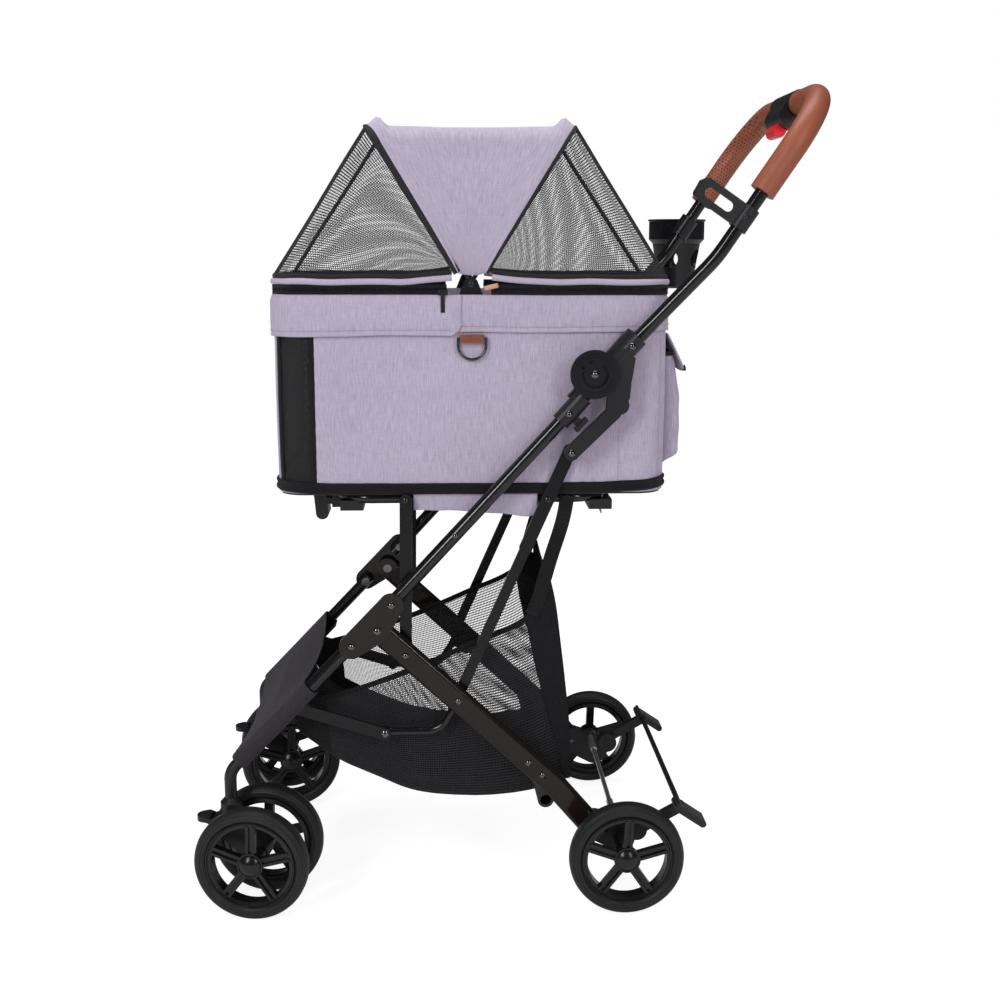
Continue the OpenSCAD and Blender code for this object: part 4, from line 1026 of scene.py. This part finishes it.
def smooth_line(stations, count):
    """Evenly spaced points on a smooth curve through the stations"""
    stations = np.asarray(stations, float)
    far = np.concatenate([[0], np.cumsum(np.linalg.norm(np.diff(stations, axis=0), axis=1))])
    slope = np.gradient(stations, far, axis=0)
    out = []
    for s in np.linspace(0, far[-1], count):
        k = min(max(int(np.searchsorted(far, s, "right")) - 1, 0), len(far) - 2)
        h = far[k + 1] - far[k]
        t = (s - far[k]) / h
        out.append((2 * t**3 - 3 * t**2 + 1) * stations[k] + (t**3 - 2 * t**2 + t) * h * slope[k]
                   + (3 * t**2 - 2 * t**3) * stations[k + 1] + (t**3 - t**2) * h * slope[k + 1])
    return np.array(out)


mouth = smooth_line([(-284, 240), (-200, 262), (-132, 287), (-60, 318), (10, 351), (36, 374)], 90)
side_foot = smooth_line([(-272, 216), (-200, 176), (-130, 149), (-70, 139), (-24, 137),
                         (20, 142), (60, 147)], 90)
floor_low = smooth_line([(-270, 204), (-224, 169), (-177, 146), (-133, 127), (-65, 118),
                         (-17, 119), (22, 125), (63, 140)], 90)


def basket_cloth(name, rows, finish, held="hung", thick=1.2):
    """A piece of the bag: it hangs from the main frame"""
    piece = woven(name, rows, finish, thick=thick)
    as_sheet(piece, rows, held, "main_tubes")
    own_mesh(piece)
    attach(piece, "main_frame")
    return piece


GUSSET_COLUMNS = 13
strap_stations = [(58, 506), (56, 492), (52, 470), (40, 430), (31, 398), (25, 376), (17, 356)]
strap_section = [(-0.8, -8.6), (0.8, -8.6), (1.0, -7.4), (1.0, 7.4), (0.8, 8.6), (-0.8, 8.6),
                 (-1.0, 7.4), (-1.0, -7.4)]
for side_name, side in (("left", -1), ("right", 1)):
    rows = []
    for v in np.linspace(0, 1, 30):
        row = []
        for (mx, mz), (bx, bz) in zip(mouth, floor_low + [0, 3.0]):
            x, z = bx + (mx - bx) * v, bz + (mz - bz) * v
            slack = math.sin(math.pi * v)
            y = BASKET_HALF - 0.2 - 2.6 * slack * (0.5 + 0.5 * math.sin(
                math.pi * (x + 268) / 330)) + 0.4 * slack * wrinkle(x, side * 40, z, 60)
            row.append((x, side * y, z))
        rows.append(row if side < 0 else row[::-1])
    rows = np.array(rows)
    if side < 0:
        net_part, end_part = rows[:, GUSSET_COLUMNS - 1:], rows[:, :GUSSET_COLUMNS]
    else:
        net_part, end_part = rows[:, :1 - GUSSET_COLUMNS], rows[:, -GUSSET_COLUMNS:]
    basket_cloth(f"basket_net_{side_name}", net_part, basket_net, "stretched", 0)
    basket_cloth(f"basket_gusset_{side_name}", end_part, basket_floor_cloth)
    mouth_path = np.array([(x, side * (BASKET_HALF - 0.5), z) for x, z in mouth])
    rim_tape = swept(f"basket_mouth_{side_name}", mouth_path, oval_section(1.4, 3.6, 10),
                     webbing, (0, side, 0))
    strap_path = [(x, side * (128.2 + 6.4 * min(1, max(0, (z - 462) / 26))), z)
                  for x, z in smooth_line(strap_stations, 46)]
    strap = swept(f"basket_strap_{side_name}", strap_path, strap_section, webbing,
                  (0, side, 0))
    for soft in (rim_tape, strap):
        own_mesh(soft)
        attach(soft, "main_frame")

rows = []
half = [(1.0, 0.0), (0.998, 0.35), (0.992, 0.7), (0.98, 0.93)] + [
    (t, 1.0) for t in np.linspace(0.96, 0.0, 22)]
girth = [(-t, share) for t, share in half] + [(t, share) for t, share in half[-2::-1]]
for t, share in girth:
    row = []
    for (bx, bz), (lx, lz) in zip(side_foot, floor_low):
        y = t * (BASKET_HALF - 1.5)
        loose = 1 - abs(t)
        z = bz + (lz - bz) * share + loose * (1.2 * wrinkle(bx, y, 0, 55) - 2.0) \
            + 0.3 * wrinkle(bx, y, 9, 18)
        row.append((bx + (lx - bx) * share, y, z))
    rows.append(row)
rows = np.array(rows)[::-1]
basket_floor = basket_cloth("basket_floor", rows, basket_floor_cloth)
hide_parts("storage_basket")

back_line = smooth_line([(67, 141), (66, 200), (60, 262), (53, 320), (46, 372), (37, 412)], 60)
front_edge = smooth_line([(58, 141), (50, 180), (36, 235), (24, 278), (14, 325), (8, 372),
                          (9, 412)], 60)
rows = []
for x, z in back_line:
    row = []
    up = (z - 141) / 271
    edge_x = max(np.interp(z, front_edge[:, 1], front_edge[:, 0]),
                 np.interp(z, mouth[:, 1], mouth[:, 0]))
    edge_x = min(edge_x, x - 5)
    for t in np.linspace(0, 1, 14):
        row.append((edge_x + (x - 4 - edge_x) * t, -BASKET_HALF - 0.9 + 1.2 * t * t, z))
    for t in np.linspace(-1, 1, 60):
        sag = 5.0 * math.sin(math.pi * up) * (1 - t * t)
        top = 10.0 * (1 - t * t) * max(0, up - 0.8) / 0.2
        fold = 1.3 * (1 - t ** 4) * wrinkle(t * 120, 7, z * 0.5, 30)
        row.append((x - sag * 0.4 + fold, t * (BASKET_HALF - 2.0), z - top))
    row += [(px, -py, pz) for px, py, pz in row[:14]][::-1]
    rows.append(row)
basket_cloth("basket_back", np.array(rows), basket_back_cloth, thick=1.4)

front_wall = np.array([[(-271 - 13 * v, y, 205 + 36 * v)
                        for y in np.linspace(BASKET_HALF - 3, -BASKET_HALF + 3, 40)]
                       for v in np.linspace(0, 1, 12)])
basket_cloth("basket_front", front_wall, basket_floor_cloth)

# ---- Front panel ------------------------------------------------------------
# Dark grey cloth stretched between the front legs, each side turned round its leg into a
# sewn sleeve. Its face is plain.

LEG_FOOT, LEG_TOP = np.array([-348.8, 175.1]), np.array([-202.5, 329.0])
leg_run = (LEG_TOP - LEG_FOOT) / np.linalg.norm(LEG_TOP - LEG_FOOT)
leg_out = np.array([-leg_run[1], leg_run[0]])
panel_grey = melange("panel_cloth", (0.040, 0.034, 0.042), (0.018, 0.016, 0.020), 0.8, 0.06)
SLEEVE_R, LEG_Y, CROSS_BAR, PANEL_SAG = 9.9, 156, 72, -9.5
sleeve = [(SLEEVE_R * math.sin(math.radians(a)), -LEG_Y - SLEEVE_R * math.cos(math.radians(a)))
          for a in np.linspace(-110, 90, 22)]
half_girdle = [(-9.6, y) for y in (-129, -136, -143, -150)] + sleeve
girdle = half_girdle + [(SLEEVE_R, y) for y in np.linspace(-150, 150, 50)] + [
    (p, -y) for p, y in half_girdle[::-1]]
rows = []
for s in np.linspace(9, 139, 40):
    row = []
    for p, y in girdle:
        inner = max(0, 1 - (abs(y) / 150) ** 2) if p > 9.8 else 0
        free = min(1, abs(s - CROSS_BAR) / 58)
        sag = PANEL_SAG * inner * (0.12 + 0.88 * free)
        fold = inner * free * 1.8 * wrinkle(y * 0.5, s, 3, 38)
        pucker = 0.5 * math.sin(s / 2.6 + 2 * wrinkle(s, y, 0, 20)) * math.exp(
            -abs(abs(y) - 143) / 5) if p > 9.8 else 0
        spot = LEG_FOOT + leg_run * s + leg_out * (p + sag + fold * 0.6 + pucker)
        row.append((spot[0], y, spot[1]))
    rows.append(row)
rows = np.array(rows)
front_cloth = woven("front_cloth_panel", rows, panel_grey, thick=1.1)
as_sheet(front_cloth, rows, "stretched", "front_legs")
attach(front_cloth, "front_frame")
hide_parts("front_panel")
panel_edges = []
for s in (14, 134):
    line = []
    for y in np.linspace(-146, 146, 80):
        inner = max(0, 1 - (abs(y) / 150) ** 2)
        spot = LEG_FOOT + leg_run * s + leg_out * (10.9 + PANEL_SAG * inner)
        line.append((spot[0], y, spot[1]))
    panel_edges.append(line)
for y in (-141, 141):
    spots = [LEG_FOOT + leg_run * s + leg_out * 10.6 for s in np.linspace(12, 136, 40)]
    panel_edges.append([(x, y, z) for x, z in spots])
run_along("front_panel_stitches", panel_edges,
          thread("dark_thread", (0.07, 0.065, 0.075), (0.13, 0.12, 0.14)),
          "front_frame", 3.4, (0.6, 0.6, 2.3))

# ---- Under-flaps, mat, rear pocket ------------------------------------------
# Lilac flaps hang from the box each side and hide the platform rails. A quilted mat lies on
# the floor. The rear end carries a gusseted pocket with a free-hanging flap.

for side_name, side in (("left", -1), ("right", 1)):
    rows = []
    for v in np.linspace(0, 1, 14):
        row = []
        for x in np.linspace(-127, 22, 70):
            low = 489.5 - 11 * ((x + 127) / 149) ** 2 + 6 * max(0, (x - 2) / 20) ** 2 \
                - 1.2 * wrinkle(x, 0, 0, 30)
            high = SHELL_BASE - 0.4
            z = low + (high - low) * v
            y = SHELL_WIDTH / 2 - 3.2 - 0.8 * (1 - v) + 0.6 * wrinkle(x, side, z, 22)
            row.append((x, side * y, z))
        rows.append(row if side < 0 else row[::-1])
    rows = np.array(rows)
    flap = woven(f"under_flap_{side_name}", rows, lilac, thick=1.0)
    as_sheet(flap, rows, "hung", "carrier_shell")
    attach(flap, "carrier")
    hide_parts("carrier_flaps")

mat_points, _ = plan_line(-9.5, 220)
mat_low, mat_high = SHELL_BASE + 8.6, SHELL_BASE + 25.5
mat_rings = [(0.35, 0.0), (0.7, 0.0), (0.93, 0.0), (1.0, 0.12), (1.008, 0.5), (1.0, 0.88),
             (0.93, 1.0), (0.7, 1.0), (0.35, 1.0)]
mat_verts, mat_faces = [], []
for scale, level in mat_rings:
    for px, py in mat_points:
        mat_verts.append((SHELL_MID + (px - SHELL_MID) * scale, py * scale,
                          mat_low + (mat_high - mat_low) * level))
count = len(mat_points)
for ring in range(len(mat_rings) - 1):
    for j in range(count):
        k = (j + 1) % count
        mat_faces.append((ring * count + j, ring * count + k, (ring + 1) * count + k,
                          (ring + 1) * count + j))
mat_faces.append(tuple(range(count))[::-1])
mat_faces.append(tuple(range((len(mat_rings) - 1) * count, len(mat_rings) * count)))
mat_cloth = melange("mat_cloth", (0.115, 0.110, 0.120), (0.060, 0.057, 0.066), 1.2, 0.3)
mat = place_piece("floor_pad", mat_verts, mat_faces, mat_cloth)
remesh = mat.modifiers.new("remesh", "REMESH")
remesh.mode, remesh.voxel_size = "VOXEL", 0.006
shown = mat.evaluated_get(bpy.context.evaluated_depsgraph_get())
start_mesh = bpy.data.meshes.new_from_object(shown)
mat.modifiers.clear()
mat.data = start_mesh
if not start_mesh.materials:
    start_mesh.materials.append(mat_cloth)
before = np.array([v.co for v in start_mesh.vertices])
inflate = mat.modifiers.new("inflate", "CLOTH")
inflate.settings.use_pressure = True
inflate.settings.uniform_pressure_force = 4
inflate.settings.effector_weights.gravity = 0
for frame_number in range(1, 21):
    scene.frame_set(frame_number)
shown = mat.evaluated_get(bpy.context.evaluated_depsgraph_get())
after = np.array([v.co for v in shown.data.vertices])
mat.modifiers.clear()
scene.frame_set(1)
moved = after - before
far = np.linalg.norm(moved, axis=1)[:, None]
moved *= np.minimum(1, 0.005 / np.maximum(far, 1e-9))
settled = before + moved
settled[:, 2] = np.clip(settled[:, 2], (mat_low - 0.2) / 1000, (mat_high + 4) / 1000)
for v, co in zip(mat.data.vertices, settled):
    v.co = co
tufts = [(x / 1000, y / 1000) for x in np.linspace(-215, 105, 5) for y in (-70, 0, 70)]
for v in mat.data.vertices:
    if v.co.z > (mat_low + mat_high) / 2000:
        near = min((v.co.x - tx) ** 2 + (v.co.y - ty) ** 2 for tx, ty in tufts)
        v.co.z -= 0.006 * math.exp(-near / 0.0007)
mat.data.polygons.foreach_set("use_smooth", [True] * len(mat.data.polygons))
layer = mat.data.uv_layers.new(name="UVMap")
for loop in mat.data.loops:
    co = mat.data.vertices[loop.vertex_index].co
    layer.data[loop.index].uv = (co.x + co.z, co.y + co.z)
finer = mat.modifiers.new("finer", "SUBSURF")
finer.levels = finer.render_levels = 1
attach(mat, "carrier")
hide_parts("floor_mat")

REAR_X = SHELL_MID + SHELL_LENGTH / 2
rows = []
for v in np.linspace(0, 1, 40):
    z = 541.0 + 132.5 * v
    row = []
    for t in np.linspace(-1, 1, 70):
        edge = min(1, (1 - abs(t)) / 0.07)
        edge = math.sin(edge * math.pi / 2)
        foot = math.sin(min(1, v / 0.10) * math.pi / 2)
        top = 1 - 0.55 * max(0, (v - 0.55) / 0.45) ** 1.5
        depth = 20.0 * edge * foot * top + edge * foot * 1.3 * wrinkle(t * 90, 0, z, 26)
        row.append((REAR_X + 0.4 + max(depth, 0), t * 102, z))
    rows.append(row)
pocket_rows = np.array(rows)
rear_pocket = woven("rear_pocket_bag", pocket_rows, lilac, thick=1.2)
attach(rear_pocket, "carrier")
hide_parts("rear_pocket")
rows = []
for v in np.linspace(0, 1, 26):
    row = []
    for t in np.linspace(-1, 1, 70):
        corner = max(0, abs(t) - 0.93) / 0.07
        reach = 1 - 0.10 * corner ** 2
        x = REAR_X + 2.6 + 22.0 * v * reach + 1.1 * wrinkle(t * 100, 3, v * 40, 24) * v
        z = 698.5 - 41.0 * v * reach - 3.0 * v * v + 1.2 * math.sin(t * 5 + 1) * v
        row.append((x, t * 105.5, z))
    rows.append(row)
flap_rows = np.array(rows)[::-1]
pocket_flap = woven("pocket_flap_cloth", flap_rows, lilac, thick=1.8)
as_sheet(pocket_flap, flap_rows, "hung", "carrier_shell")
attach(pocket_flap, "pocket_flap")
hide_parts("pocket_flap")
flap_edge = swept("pocket_flap_binding", flap_rows[0] + [0.6, 0, -0.4],
                  oval_section(1.3, 2.2, 10), seam_black, (1, 0, 0))
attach(flap_edge, "pocket_flap")
pocket_mouth = swept("pocket_mouth_binding", pocket_rows[-1] + [0.2, 0, 0.4],
                     oval_section(1.5, 3.0, 10), seam_black, (1, 0, 0))
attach(pocket_mouth, "carrier")

# A cable tie left round the platform's rear corner
tie_mid = np.array([97.0, -107.3, 503.0])
tie_out = np.array([36.5, -26.3, 0]) / 45
loop = [tie_mid + 7.6 * (tie_out * math.cos(a) + np.array([0, 0, 1]) * math.sin(a))
        for a in np.linspace(-1.2, 2 * math.pi - 1.5, 30)]
tail = [loop[-1] + np.array([0.6 * k, -0.9 * k, -2.2 * k + 0.04 * k * k]) for k in range(1, 9)]
cable_tie = swept("cable_tie", np.array(loop + tail), oval_section(0.5, 1.3, 8), bright_steel,
                  (tie_out[1], -tie_out[0], 0.2))
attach(cable_tie, "platform")
